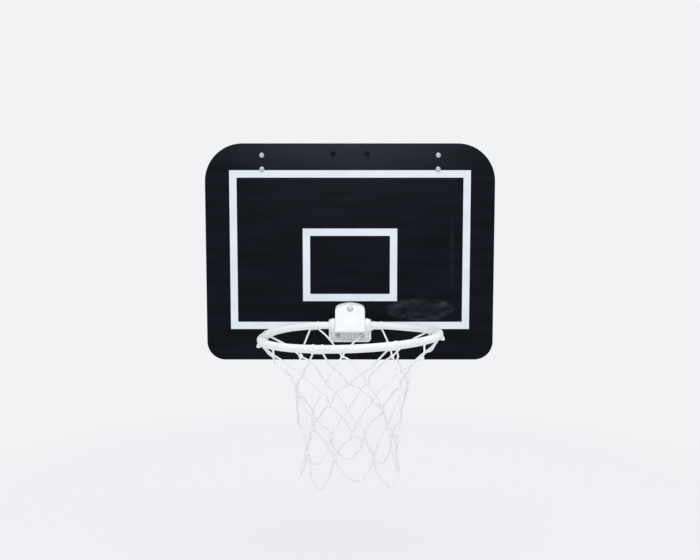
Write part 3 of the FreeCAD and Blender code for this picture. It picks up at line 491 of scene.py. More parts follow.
# Painted shade: dead matt black caps fill the two open top holes and stand in for the shade seen
# through them, as dark spots on the satin sheet
HOLE_SHADE_BLACK = Finish(
    "painted_hole_shade_black", "board_black", "#14171e", "#101319", roughness=0.85,
    specular=0.05, mottle_mm=3.0, texture_mm=0.4)
# Drawn music wire: grey steel with fine die lines
SPRING_STEEL = Finish(
    "music_wire_drawn", "spring_steel", "#8c9097", "#767b82", roughness=0.3, metallic=1.0,
    mottle_mm=2.0, texture_mm=0.3, texture_depth_mm=0.01)


@dataclass
class Build:
    """Points and faces of one mesh in the making, in millimetres."""

    points: Points = field(default_factory=list)
    faces: Faces = field(default_factory=list)

    def add(self, solid: Solid) -> "Build":
        """Add a part that has its own numbering of points.

        Args:
            solid: Points and faces of the part.

        Returns:
            This build.
        """
        start = len(self.points)
        points, faces = solid
        self.points += points
        self.faces += [tuple(start + index for index in face) for face in faces]
        return self

    def mesh(self, name: str, sharp_deg: float = SHARP_DEG) -> bpy.types.Mesh:
        """Make the mesh in metres.

        Args:
            name: Name of the mesh.
            sharp_deg: Edges that turn by more than this stay sharp.

        Returns:
            The mesh, with smooth faces between its sharp edges.
        """
        mesh = bpy.data.meshes.new(name)
        mesh.from_pydata([point * MM for point in self.points], [], self.faces)
        work = bmesh.new()
        work.from_mesh(mesh)
        bmesh.ops.recalc_face_normals(work, faces=work.faces)
        work.to_mesh(mesh)
        work.free()
        mesh.shade_smooth()
        mesh.set_sharp_from_angle(angle=math.radians(sharp_deg))
        return mesh


def piece(name: str, mesh: bpy.types.Mesh, body: Optional[Body], finish: Finish,
          *nodes: str) -> bpy.types.Object:
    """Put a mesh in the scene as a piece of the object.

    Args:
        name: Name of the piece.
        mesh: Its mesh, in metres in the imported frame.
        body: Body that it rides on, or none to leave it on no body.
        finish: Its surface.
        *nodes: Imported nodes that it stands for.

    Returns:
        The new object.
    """
    obj = bpy.data.objects.new(name, mesh)
    bpy.context.scene.collection.objects.link(obj)
    mesh.materials.append(finish.material())
    if body is not None:
        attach(obj, body.value)
    if nodes:
        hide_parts(*nodes)
    LOG.info("%s: %d points", name, len(mesh.vertices))
    return obj


def dress_node(frame: Frame, node: str, finish: Finish, round_mm: float = 0.0) -> None:
    """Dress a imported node: its finish, and its edges broken as the real ones are.

    Args:
        frame: The loaded frame.
        node: Name of the node.
        finish: Its surface.
        round_mm: Width of the round on its edges, or none.
    """
    obj = frame["nodes"][node]
    obj.data.materials.clear()
    obj.data.materials.append(finish.material())
    if round_mm:
        obj.modifiers.new("weld", "WELD").merge_threshold = NODE_WELD_MM * MM
        flats = obj.modifiers.new("flats", "DECIMATE")
        flats.decimate_type = "DISSOLVE"
        flats.angle_limit = math.radians(FLAT_DEG)
        edge = obj.modifiers.new("edge", "BEVEL")
        edge.width = round_mm * MM
        edge.segments = ROUND_STEPS
        edge.limit_method = "ANGLE"
        edge.angle_limit = math.radians(ROUNDED_DEG)
        obj.modifiers.new("normals", "WEIGHTED_NORMAL").keep_sharp = True
    LOG.info("%s: packed node", node)


def weld_and_weigh(obj: bpy.types.Object) -> None:
    """Join a piece's seams and let its large faces set the shading."""
    obj.modifiers.new("weld", "WELD").merge_threshold = PIECE_WELD_MM * MM
    obj.modifiers.new("normals", "WEIGHTED_NORMAL").keep_sharp = True


def quarter(steps: int) -> list[float]:
    """Angles from 0 to a right angle, in radians."""
    return [math.pi / 2 * step / steps for step in range(steps + 1)]


def band(low: int, high: int, sides: int) -> Faces:
    """Faces between two rings of points, by the number of each ring's first point."""
    return [(low + index, low + (index + 1) % sides, high + (index + 1) % sides, high + index)
            for index in range(sides)]


def round_section(radius: float, sides: int) -> Outline:
    """Corners of a round section."""
    turn = 2 * math.pi / sides
    return [(radius * math.cos(turn * i), radius * math.sin(turn * i)) for i in range(sides)]


def lathe(profile: Profile, centre: Vector, axis: Axis, steps: int) -> Solid:
    """Turn a profile about an axis.

    Args:
        profile: Pairs of radius and height along the axis; a radius of 0 closes an end.
        centre: Point on the axis at height 0.
        axis: Direction of the axis.
        steps: Sides of the round.

    Returns:
        Points and faces.
    """
    along = Vector(axis.value)
    first = Vector((Axis.BACK if axis is Axis.RIGHT else Axis.RIGHT).value)
    second = along.cross(first)
    points: Points = []
    rings: list[list[int]] = []
    for radius, height in profile:
        count = steps if radius else 1
        rings.append(list(range(len(points), len(points) + count)))
        for step in range(count):
            angle = 2 * math.pi * step / steps
            spoke = first * math.cos(angle) + second * math.sin(angle)
            points.append(centre + along * height + spoke * radius)
    faces: Faces = []
    for low, high in zip(rings, rings[1:]):
        for step in range(steps):
            after = step + 1
            corners = (low[step % len(low)], low[after % len(low)],
                       high[after % len(high)], high[step % len(high)])
            face = tuple(dict.fromkeys(corners))
            if len(face) > 2:
                faces.append(face)
    return points, faces


def sweep(path: Points, section: Section, closed: bool = False) -> Solid:
    """Carry a section along a path without letting it spin.

    Args:
        path: Points of the path.
        section: Corners of the section by distance along the path.
        closed: Whether the path's end joins its start.

    Returns:
        Points and faces, with ends closed on an open path.
    """
    count = len(path)
    heading = []
    for index in range(count):
        before = path[index - 1] if closed or index else path[0]
        after = path[(index + 1) % count] if closed or index < count - 1 else path[-1]
        heading.append((after - before).normalized())
    normal = heading[0].orthogonal().normalized()
    points: Points = []
    travelled, sides = 0.0, 0
    for index, here in enumerate(path):
        if index:
            normal = heading[index - 1].rotation_difference(heading[index]) @ normal
            travelled += (here - path[index - 1]).length
        binormal = heading[index].cross(normal)
        corners = section(travelled)
        sides = len(corners)
        points += [here + normal * across + binormal * over for across, over in corners]
    faces: Faces = []
    for ring in range(count if closed else count - 1):
        faces += band(ring * sides, (ring + 1) % count * sides, sides)
    if not closed:
        faces.append(tuple(reversed(range(sides))))
        faces.append(tuple(range((count - 1) * sides, count * sides)))
    return points, faces


def smooth_path(points: Points, step_mm: float) -> Points:
    """Even points on a smooth curve through given points.

    Args:
        points: Points that the curve passes.
        step_mm: About how far apart the new points lie.

    Returns:
        Points along the curve.
    """
    count = len(points)
    path: Points = []
    for index in range(count - 1):
        p0, p1, p2, p3 = (points[min(max(index + k, 0), count - 1)] for k in (-1, 0, 1, 2))
        pieces = max(2, round((p2 - p1).length / step_mm))
        for part in range(pieces):
            t = part / pieces
            path.append(0.5 * (2 * p1 + (p2 - p0) * t + (2 * p0 - 5 * p1 + 4 * p2 - p3) * t ** 2
                               + (3 * p1 - p0 - 3 * p2 + p3) * t ** 3))
    path.append(points[-1].copy())
    return path


def bezier(start: Vector, first: Vector, second: Vector, end: Vector, count: int) -> Points:
    """Points on a cubic curve, without its last one.

    Args:
        start: Start of the curve.
        first: Point that the curve leaves towards.
        second: Point that the curve comes in from.
        end: End of the curve.
        count: Number of points.

    Returns:
        Points along the curve.
    """
    path = []
    for index in range(count):
        t = index / count
        u = 1 - t
        path.append(start * u ** 3 + first * (3 * u * u * t) + second * (3 * u * t * t)
                    + end * t ** 3)
    return path


def round_outline(left: float, right: float, low: float, high: float, radii: Pair,
                  inset: float, steps: int) -> Outline:
    """Outline of a rectangle with round corners.

    Args:
        left: Least X.
        right: Greatest X.
        low: Least Z.
        high: Greatest Z.
        radii: Radius of the upper and of the lower corners.
        inset: How far the outline is drawn in.
        steps: Pieces of each corner's arc.

    Returns:
        Pairs of X and Z, against the clock from the lower right corner.
    """
    upper, lower = radii
    corners = ((right - lower, low + lower, lower, -90), (right - upper, high - upper, upper, 0),
               (left + upper, high - upper, upper, 90), (left + lower, low + lower, lower, 180))
    outline = []
    for x, z, radius, start in corners:
        for step in range(steps + 1):
            angle = math.radians(start + 90 * step / steps)
            reach = radius - inset
            outline.append((x + reach * math.cos(angle), z + reach * math.sin(angle)))
    return outline


def filled(outline: Profile, holes: Sequence[Profile], y: float) -> Solid:
    """Flat face inside an outline and outside its holes, at one depth.

    Args:
        outline: Pairs of X and Z round the face.
        holes: Pairs of X and Z round each hole.
        y: Depth of the face.

    Returns:
        Points and faces.
    """
    work = bmesh.new()
    edges = []
    for loop in (outline, *holes):
        ring = [work.verts.new((x, y, z)) for x, z in loop]
        edges += [work.edges.new((a, b)) for a, b in zip(ring, ring[1:] + ring[:1])]
    bmesh.ops.triangle_fill(work, use_beauty=True, use_dissolve=False, edges=edges)
    work.verts.index_update()
    points = [vertex.co.copy() for vertex in work.verts]
    faces = [tuple(vertex.index for vertex in face.verts) for face in work.faces]
    work.free()
    return points, faces


def plate(outline: Callable[[float], Outline], edge: Profile, holes: Sequence[Triple] = (),
          hole_steps: int = 32) -> Build:
    """Plate in the XZ plane whose rim follows an edge profile.

    Args:
        outline: Outline drawn in by an inset.
        edge: Pairs of inset and Y from the front face's border round to the back face's border.
        holes: X, Z and radius of each hole right through.
        hole_steps: Sides of a hole.

    Returns:
        The plate's points and faces.
    """
    rings = [[Vector((x, y, z)) for x, z in outline(inset)] for inset, y in edge]
    sides = len(rings[0])
    faces: Faces = []
    for ring in range(len(rings) - 1):
        faces += band(ring * sides, (ring + 1) * sides, sides)
    build = Build().add(([point for ring in rings for point in ring], faces))
    front, back = edge[0][1], edge[-1][1]
    bores = []
    for x, z, radius in holes:
        bores.append([(x + a, z + b) for a, b in round_section(radius, hole_steps)])
        wall = [Vector((a, y, b)) for y in (front, back) for a, b in bores[-1]]
        build.add((wall, band(0, hole_steps, hole_steps)))
    for ring, y in ((rings[0], front), (rings[-1], back)):
        build.add(filled([(point.x, point.z) for point in ring], bores, y))
    return build


def arc_edge(depth: float, radius: float, front: float, steps: int = 5) -> Outline:
    """Edge profile of a plate with a quarter round at its front and at its back.

    Args:
        depth: Thickness of the plate.
        radius: Radius of the rounds.
        front: Y of the front face.
        steps: Pieces of each round.

    Returns:
        Pairs of inset and Y.
    """
    profile = [(radius * (1 - math.sin(angle)), front + radius * (1 - math.cos(angle)))
               for angle in quarter(steps)]
    back = front + depth
    return profile + [(inset, front + back - y) for inset, y in reversed(profile)]


def recessed(mesh: bpy.types.Mesh, cutter: bpy.types.Mesh) -> bpy.types.Mesh:
    """Mesh with another one cut out of it.

    Args:
        mesh: Mesh that is cut.
        cutter: Mesh of what goes away.

    Returns:
        The cut mesh.
    """
    body = bpy.data.objects.new("cut_body", mesh)
    tool = bpy.data.objects.new("cut_tool", cutter)
    for obj in (body, tool):
        bpy.context.scene.collection.objects.link(obj)
    cut = body.modifiers.new("recess", "BOOLEAN")
    cut.operation = "DIFFERENCE"
    cut.solver = "EXACT"
    cut.use_self = True
    cut.object = tool
    graph = bpy.context.evaluated_depsgraph_get()
    result = bpy.data.meshes.new_from_object(body.evaluated_get(graph))
    result.materials.clear()
    result.shade_smooth()
    result.set_sharp_from_angle(angle=math.radians(SHARP_DEG))
    for obj in (body, tool):
        bpy.data.objects.remove(obj)
    return result


@dataclass(frozen=True)
class Places:
    """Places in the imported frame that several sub-assemblies share, in millimetres."""

    face: float
    foot: float
    top: float
    half_width: float
    hinge: Vector
    rivet_drops: Pair = (16.5, 35.7)
    # X of the base screws, and how far they and the hood screw stand over the board's foot
    base_screw: Pair = (17.0, 35.0)
    hood_screw_rise: float = 76.2

    @classmethod
    def read(cls, frame: Frame) -> "Places":
        """Take the places from the loaded frame.

        Args:
            frame: The loaded frame.

        Returns:
            The places.
        """
        low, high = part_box("backboard")
        hinge = Vector(frame["joints"][0]["pos_m"]) / MM
        return cls(low.y / MM, low.z / MM, high.z / MM, high.x / MM, hinge)

    def base_spot(self, side: Side) -> Pair:
        """X and Z of a base screw."""
        return side.value * self.base_screw[0], self.foot + self.base_screw[1]

    @property
    def hood_spot(self) -> Pair:
        """X and Z of the hood screw."""
        return 0.0, self.foot + self.hood_screw_rise


@dataclass
class Board:
    """Flat sheet, its printed lines and the rivets through it."""

    places: Places
    radii: Pair = (53.0, 26.0)
    corner_steps: int = 28
    edge_round: float = 1.1
    hole_spacing: float = 47.3
    hole: float = 6.0
    screw_hole: float = 4.4
    # Sizes of the matt black caps that paint the shade in the two top holes
    shade_cap: float = 7.4
    shade_cap_height: float = 0.7
    shade_cap_gap: float = 0.05
    hook_half: float = 123.2
    strap: float = 2.0
    rivet_head: float = 7.2
    rivet_height: float = 1.7
    rivet_shank: float = 4.0
    rivet_tail: float = 6.4
    # Width and height of the break at a head's border
    rivet_edge: Pair = (0.12, 0.15)
    # Radius of the stem's pit, as a share of the head's, and how full the dome is
    pit: float = 0.27
    dome: float = 0.82
    dome_steps: int = 8
    # Share of the pit's radius, and depth in the head, from the snapped stem to the pit's lip
    pit_form: Profile = ((0.0, 0.55), (0.8, 0.55), (1.0, 0.42), (1.05, 0.1), (1.3, 0.0))
    # Share of the tail's radius and height behind the strap
    tail_form: Profile = ((0.9, 0.05), (1.0, 0.6), (0.97, 1.5), (0.8, 2.3), (0.5, 2.8), (0.0, 2.95))
    round_steps: int = 36

    def build(self, frame: Frame) -> None:
        """Make and dress every piece of the board.

        Args:
            frame: The loaded frame.
        """
        self.sheet()
        self.hole_shade_caps()
        for node in ("border_line", "target_line"):
            dress_node(frame, node, LINE_WHITE)
        self.rivets()

    def sheet(self) -> None:
        """Black sheet with rolled edges and its screw holes."""
        at = self.places

        def outline(inset: float) -> Outline:
            """Outline of the sheet, drawn in."""
            return round_outline(-at.half_width, at.half_width, at.foot, at.top, self.radii, inset,
                                 self.corner_steps)

        holes = []
        for side in Side:
            holes += [(side.value * self.hole_spacing / 2, 0.0, self.hole / 2),
                      (*at.base_spot(side), self.screw_hole / 2)]
        holes.append((*at.hood_spot, self.screw_hole / 2))
        build = plate(outline, arc_edge(-at.face, self.edge_round, at.face), holes)
        weld_and_weigh(piece("board_sheet", build.mesh("board_sheet"), Body.BOARD, BOARD_BLACK,
                             "backboard"))

    def hole_shade_caps(self) -> None:
        """Matt black caps in the two top screw holes: painted shade that stands in for the dark seen
        through the open holes.
        """
        cap, tall, stem = self.shade_cap / 2, self.shade_cap_height, self.hole / 2 - self.shade_cap_gap
        length = tall - self.places.face
        # A flat-domed cap, the stem in the hole and its tapered end
        profile = [(0, 0), (cap * 0.6, 0.05), (cap * 0.9, 0.2), (cap, tall - 0.1),
                   (cap - 0.1, tall), (stem, tall), (stem, length - 1.0),
                   (stem * 0.7, length - 0.2), (0, length - 0.2)]
        for side in Side:
            name = f"hole_plug_{side.word}"
            centre = Vector((side.value * self.hole_spacing / 2, self.places.face - tall, 0))
            build = Build().add(lathe(profile, centre, Axis.BACK, self.round_steps))
            piece(name, build.mesh(name), Body.BOARD, HOLE_SHADE_BLACK)

    def rivets(self) -> None:
        """Four blind rivets: domed head with the snapped stem in its pit, and a set tail behind."""
        at = self.places
        head, tall, tail = self.rivet_head / 2, self.rivet_height, self.rivet_tail / 2
        pit = self.pit * head
        profile = [(pit * share, depth) for share, depth in self.pit_form]
        lip = profile[-1][0]
        profile += [(lip + (head - lip) * math.sin(angle), tall * self.dome * (1 - math.cos(angle)))
                    for angle in quarter(self.dome_steps)[1:]]
        behind = tall - at.face + self.strap
        shank, (wide, high) = self.rivet_shank / 2, self.rivet_edge
        profile += [(head, tall - high), (head - wide, tall), (shank, tall), (shank, behind)]
        profile += [(tail * share, behind + height) for share, height in self.tail_form]
        build = Build()
        for side in Side:
            for drop in at.rivet_drops:
                centre = Vector((side.value * self.hook_half, at.face - tall, at.top - drop))
                build.add(lathe(profile, centre, Axis.BACK, self.round_steps))
        piece("rivet_set", build.mesh("rivet_set"), Body.BOARD, RIVET_ALUMINIUM, "hook_rivets")


@dataclass
class DoorHooks:
    """Bent straps over the door, their foam and the lower bumpers."""

    places: Places
    strap_round: float = 0.4
    pad_hole: float = 9.0
    pad_corner: float = 4.0
    least_corner: float = 0.05
    pad_corner_steps: int = 10
    # Inset and height of the broken edge at a strip's stuck face
    pad_cut: Pair = (0.15, 0.3)
    # A strip's crown, how steeply it falls to the border, and the share of it reached at an inset
    crown: float = 0.8
    crown_fall: float = 2.2
    crown_form: Profile = ((0.0, 0.55), (0.25, 0.72), (0.8, 0.83), (1.8, 0.91), (3.2, 0.97),
                           (5.0, 1.0))
    pad_fill: float = 0.8
    bumper_round: float = 2.2
    bumper_round_steps: int = 6
    bumper_crown: float = 0.5
    bumper_steps: int = 64
    bumper_fill: float = 0.9

    def build(self, frame: Frame) -> None:
        """Make and dress every piece of the hooks.

        Args:
            frame: The loaded frame.
        """
        heights = [self.places.top - drop for drop in self.places.rivet_drops]
        for side in Side:
            dress_node(frame, f"door_hook_{side.word}", HOOK_BLACK, self.strap_round)
            self.pad("strap", side, heights, Facing.BACK)
            self.pad("hook", side, [], Facing.FRONT)
            self.bumper(side)

    def pad(self, stem: str, side: Side, hole_heights: Sequence[float], free: Facing) -> None:
        """Foam strip, swollen on its free face and cut square where it is stuck down.

        Args:
            stem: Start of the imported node's and of the piece's name.
            side: Which hook.
            hole_heights: Heights of the holes for the rivet tails.
            free: Way that the free face looks.
        """
        node, name = f"{stem}_pad_{side.word}", f"{stem}_foam_{side.word}"
        low, high = (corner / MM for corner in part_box(node))
        stuck, loose = (low.y, high.y) if free is Facing.BACK else (high.y, low.y)
        radii = (self.pad_corner, self.pad_corner)

        def outline(inset: float) -> Outline:
            """Outline of the strip, drawn in.

            Args:
                inset: How far; past its corners' radius the rectangle itself gets smaller.

            Returns:
                Pairs of X and Z.
            """
            reach = min(inset, self.pad_corner - self.least_corner)
            more = inset - reach
            return round_outline(low.x + more, high.x - more, low.z + more, high.z - more, radii,
                                 reach, self.pad_corner_steps)

        cut_inset, cut_height = self.pad_cut
        edge = [(cut_inset, stuck), (0.0, stuck + free.value * cut_height)]
        rise = abs(loose - stuck)
        edge += [(inset, stuck + free.value * (rise - self.crown * (1 - share) * self.crown_fall))
                 for inset, share in self.crown_form]
        holes = [((low.x + high.x) / 2, height, self.pad_hole / 2) for height in hole_heights]
        mesh = plate(outline, edge, holes).mesh(name, FOAM_DEG)
        obj = piece(name, mesh, Body.BOARD, FOAM_BLACK, node)
        weld_and_weigh(obj)

    def bumper(self, side: Side) -> None:
        """Round foam bumper with a crowned face and a soft edge.

        Args:
            side: Which lower corner.
        """
        node, name = f"bumper_{side.word}", f"bumper_foam_{side.word}"
        low, high = (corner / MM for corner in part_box(node))
        radius, tall = (high.x - low.x) / 2, high.y - low.y
        centre = Vector(((low.x + high.x) / 2, low.y, (low.z + high.z) / 2))
        # A broken edge at the stuck face, a side that draws in, a round and a crown
        profile = [(0, 0), (radius - 0.2, 0), (radius, 0.4), (radius * 0.99, tall * 0.45)]
        profile += [(radius - self.bumper_round * (1 - math.cos(angle)),
                     tall - self.bumper_crown - self.bumper_round * (1 - math.sin(angle)))
                    for angle in quarter(self.bumper_round_steps)]
        profile += [(radius * share, tall - self.bumper_crown * share ** 2) for share in (0.6, 0.3)]
        profile.append((0, tall))
        build = Build().add(lathe(profile, centre, Axis.BACK, self.bumper_steps))
        obj = piece(name, build.mesh(name, FOAM_DEG), Body.BOARD, FOAM_BLACK, node)


@dataclass
class Bracket:
    """Moulded base and hood, the bushes in its ears, the springs and every screw."""

    places: Places
    base_round: float = 0.45
    hood_round: float = 0.4
    bore: float = 10.12
    barrel: float = 13.0
    flange: float = 17.6
    nose: float = 11.6
    ear_inner: float = 20.85
    ear_outer: float = 25.7
    collar: float = 4.1
    bush_steps: int = 56
    # How far the heads' undersides stand in front of the board's face
    base_seat: float = 3.0
    hood_seat: float = 29.8
    head: float = 7.0
    head_height: float = 2.4
    # How much of the head's height its dome takes, and how full the dome is
    head_dome: float = 0.72
    head_fullness: float = 0.8
    head_edge: float = 0.2
    dome_steps: int = 8
    head_steps: int = 40
    shank: float = 4.0
    tip: float = 5.2
    tip_taper: float = 0.5
    thread_pitch: float = 0.7
    thread_depth: float = 0.38
    # Place of a groove's foot, as a share of the pitch, and length of thread inside the board
    thread_foot: float = 0.35
    thread_inside: float = 1.0
    # Cross recess: arm as a share of the head's radius, half width and turn in radians
    recess_arm: float = 0.62
    recess_web: float = 0.55
    recess_turn: float = 0.4
    # Depth, and shares of the arm and of the half width, over the head and at the recess's foot
    recess_levels: tuple[Triple, Triple] = ((-0.6, 1.12, 1.15), (1.5, 0.45, 0.7))
    washer: float = 10.0
    washer_thickness: float = 1.0
    bore_gap: float = 0.05
    nut_flats: float = 7.0
    nut_height: float = 3.2
    # How far the corners are turned off in height, and the share of the flats left at the ends
    nut_chamfer: float = 0.55
    nut_end: float = 0.97
    nut_mouth: float = 0.25
    nut_steps: int = 48
    coil: float = 17.6
    coil_start: float = 8.9
    coil_length: float = 8.5
    coil_steps: int = 48
    turns: float = 2.5
    wire: float = 1.8
    wire_sides: int = 14
    leg: float = 16.0
    leg_steps: int = 6

    def build(self, frame: Frame) -> None:
        """Make and dress every piece of the bracket.

        Args:
            frame: The loaded frame.
        """
        dress_node(frame, "base_plate", BRACKET_WHITE, self.base_round)
        dress_node(frame, "hood", BRACKET_WHITE, self.hood_round)
        for side in Side:
            self.bush(side)
            self.spring(side)
        base = [self.places.base_spot(side) for side in Side]
        hood = [self.places.hood_spot]
        self.screws("base_screw_pair", base, self.base_seat, SCREW_GREY, "base_screws")
        self.screws("hood_screw_head", hood, self.hood_seat, FASTENER_STEEL, "hood_screw")
        self.nuts(base + hood)

    def bush(self, side: Side) -> None:
        """Bush with a barrel in the ear and a stepped, tapered collar outside it.

        Args:
            side: Which ear.
        """
        bore, barrel, inner = self.bore / 2, self.barrel / 2, self.ear_inner
        flange, nose, out = self.flange / 2, self.nose / 2, self.ear_outer
        end = out + self.collar
        middle = (flange + nose) / 2
        # The barrel, the flange against the ear, the step, the nose and back through the bore
        profile = [(bore, inner), (barrel - 0.3, inner), (barrel, inner + 0.3), (barrel, out),
                   (flange - 0.15, out), (flange, out + 0.2), (flange - 0.1, out + 1.3),
                   (flange - 0.35, out + 1.55), (middle + 0.45, out + 1.65),
                   (middle + 0.2, out + 2.9), (middle - 0.1, out + 3.1), (nose + 0.3, out + 3.2),
                   (nose + 0.1, end - 0.25), (nose - 0.2, end), (bore + 0.25, end),
                   (bore, end - 0.25), (bore, inner)]
        turned = [(radius, side.value * height) for radius, height in profile]
        centre = Vector((0, *self.places.hinge.yz))
        build = Build().add(lathe(turned, centre, Axis.RIGHT, self.bush_steps))
        name = f"bush_{side.word}"
        obj = piece(name, build.mesh(name), Body.BOARD, BUSH_WHITE, f"rim_bush_{side.word}")
        weld_and_weigh(obj)

    def spring(self, side: Side) -> None:
        """Torsion spring of round wire: its inner leg is the one that turns with the core and its
        outer leg the one that stays; the piece is left on no body.

        Args:
            side: Which end of the core.
        """
        radius = self.coil / 2
        total = round(self.turns * self.coil_steps)
        climb = self.coil_length / total
        coil = []
        for step in range(total + 1):
            angle = math.pi / 2 + 2 * math.pi * step / self.coil_steps
            across = self.coil_start + climb * step
            coil.append(self.places.hinge + Vector((
                side.value * across, radius * math.cos(angle), radius * math.sin(angle))))
        first = (coil[0] - coil[1]).normalized() * self.leg
        last = (coil[-1] - coil[-2]).normalized() * self.leg
        legs = self.leg_steps
        path = [coil[0] + first * (1 - step / legs) for step in range(legs)] + coil
        path += [coil[-1] + last * (step + 1) / legs for step in range(legs)]
        corners = round_section(self.wire / 2, self.wire_sides)
        name = f"spring_{side.word}"
        build = Build().add(sweep(path, lambda _: corners))
        obj = piece(name, build.mesh(name), None, SPRING_STEEL, f"return_spring_{side.word}")
        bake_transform(obj)

    def screws(self, name: str, spots: Sequence[Pair], seat: float, finish: Finish,
               node: str) -> None:
        """Pan-head screws with a cross recess and a threaded end.

        Args:
            name: Name of the piece.
            spots: X and Z of each screw.
            seat: How far the head's underside stands in front of the board's face.
            finish: Surface of the screws.
            node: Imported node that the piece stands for.
        """
        head, tall, shank = self.head / 2, self.head_height, self.shank / 2
        length = tall + seat - self.places.face + self.tip
        height = tall - self.places.face + seat - self.thread_inside
        edge = self.head_edge
        profile: Outline = [(0, 0)]
        profile += [(head * math.sin(angle) ** self.head_fullness,
                     self.head_dome * tall * (1 - math.cos(angle)))
                    for angle in quarter(self.dome_steps)[1:]]
        profile += [(head, tall - edge), (head - edge, tall), (shank, tall), (shank, height)]
        while height < length - 2 * self.thread_pitch:
            foot = height + self.thread_foot * self.thread_pitch
            height += self.thread_pitch
            profile += [(shank - self.thread_depth, foot), (shank, height)]
        profile += [(shank - self.tip_taper, length), (0, length)]
        build, cutter = Build(), Build()
        for x, z in spots:
            centre = Vector((x, self.places.face - seat - tall, z))
            build.add(lathe(profile, centre, Axis.BACK, self.head_steps))
            self.cross(cutter, centre)
        mesh = recessed(build.mesh(name), cutter.mesh(f"{name}_cutter"))
        piece(name, mesh, Body.BOARD, finish, node)

    def cross(self, cutter: Build, centre: Vector) -> None:
        """Tapered cross that a screwdriver fits.

        Args:
            cutter: Mesh in the making that the cross is added to.
            centre: Top of the screw's head.
        """
        arm, web = self.recess_arm * self.head / 2, self.recess_web
        levels = [(y, arm * long, web * wide) for y, long, wide in self.recess_levels]
        for turn in (self.recess_turn, self.recess_turn + math.pi / 2):
            across = Vector((math.cos(turn), 0, math.sin(turn)))
            beside = Vector((-math.sin(turn), 0, math.cos(turn)))
            corners = [centre + across * (a * reach) + beside * (b * half) + Vector((0, y, 0))
                       for y, reach, half in levels
                       for a, b in ((1, 1), (-1, 1), (-1, -1), (1, -1))]
            cutter.add((corners, [(0, 1, 2, 3), (7, 6, 5, 4), (0, 4, 5, 1), (1, 5, 6, 2),
                                  (2, 6, 7, 3), (3, 7, 4, 0)]))

    def nuts(self, spots: Sequence[Pair]) -> None:
        """A stamped washer and a chamfered hexagon nut on each screw.

        Args:
            spots: X and Z of each screw.
        """
        bore = self.shank / 2 + self.bore_gap
        outer, thick = self.washer / 2, self.washer_thickness
        # From the bore round the washer: rolled over where it was stamped, sharper behind
        ring = [(bore, 0.1), (bore + 0.1, 0), (outer - 0.25, 0), (outer, 0.25),
                (outer, thick - 0.12), (outer - 0.12, thick), (bore + 0.1, thick),
                (bore, thick - 0.1), (bore, 0.1)]
        washers, nuts = Build(), Build()
        for x, z in spots:
            washers.add(lathe(ring, Vector((x, 0, z)), Axis.BACK, self.nut_steps))
            nuts.add(self.hexagon(Vector((x, thick, z)), bore))
        for name, build, node in (("washer_set", washers, "fixing_washers"),
                                  ("nut_set", nuts, "fixing_nuts")):
            weld_and_weigh(piece(name, build.mesh(name, NUT_DEG), Body.BOARD, FASTENER_STEEL, node))

    def hexagon(self, seat: Vector, bore: float) -> Solid:
        """Nut whose six corners are turned off at both ends.

        Args:
            seat: Middle of the face that lies on the washer.
            bore: Radius of the bore.

        Returns:
            Points and faces.
        """
        flats, tall, steps = self.nut_flats / 2, self.nut_height, self.nut_steps
        end, low = flats * self.nut_end, self.nut_chamfer
        points: Points = []
        for height, limit in ((0.0, end), (low, math.inf), (tall - low, math.inf), (tall, end)):
            for step in range(steps):
                angle = 2 * math.pi * step / steps
                nearest = (angle + math.pi / 6) % (math.pi / 3) - math.pi / 6
                reach = min(flats / math.cos(nearest), limit)
                points.append(seat + Vector((
                    reach * math.cos(angle), height, reach * math.sin(angle))))
        mouth = bore + self.nut_mouth
        for radius, height in ((mouth, tall), (bore, tall - self.nut_mouth), (bore, self.nut_mouth),
                               (mouth, 0.0)):
            points += [seat + Vector((a, height, b)) for a, b in round_section(radius, steps)]
        rings = len(points) // steps
        faces: Faces = []
        for ring in range(rings):
            faces += band(ring * steps, (ring + 1) % rings * steps, steps)
        return points, faces


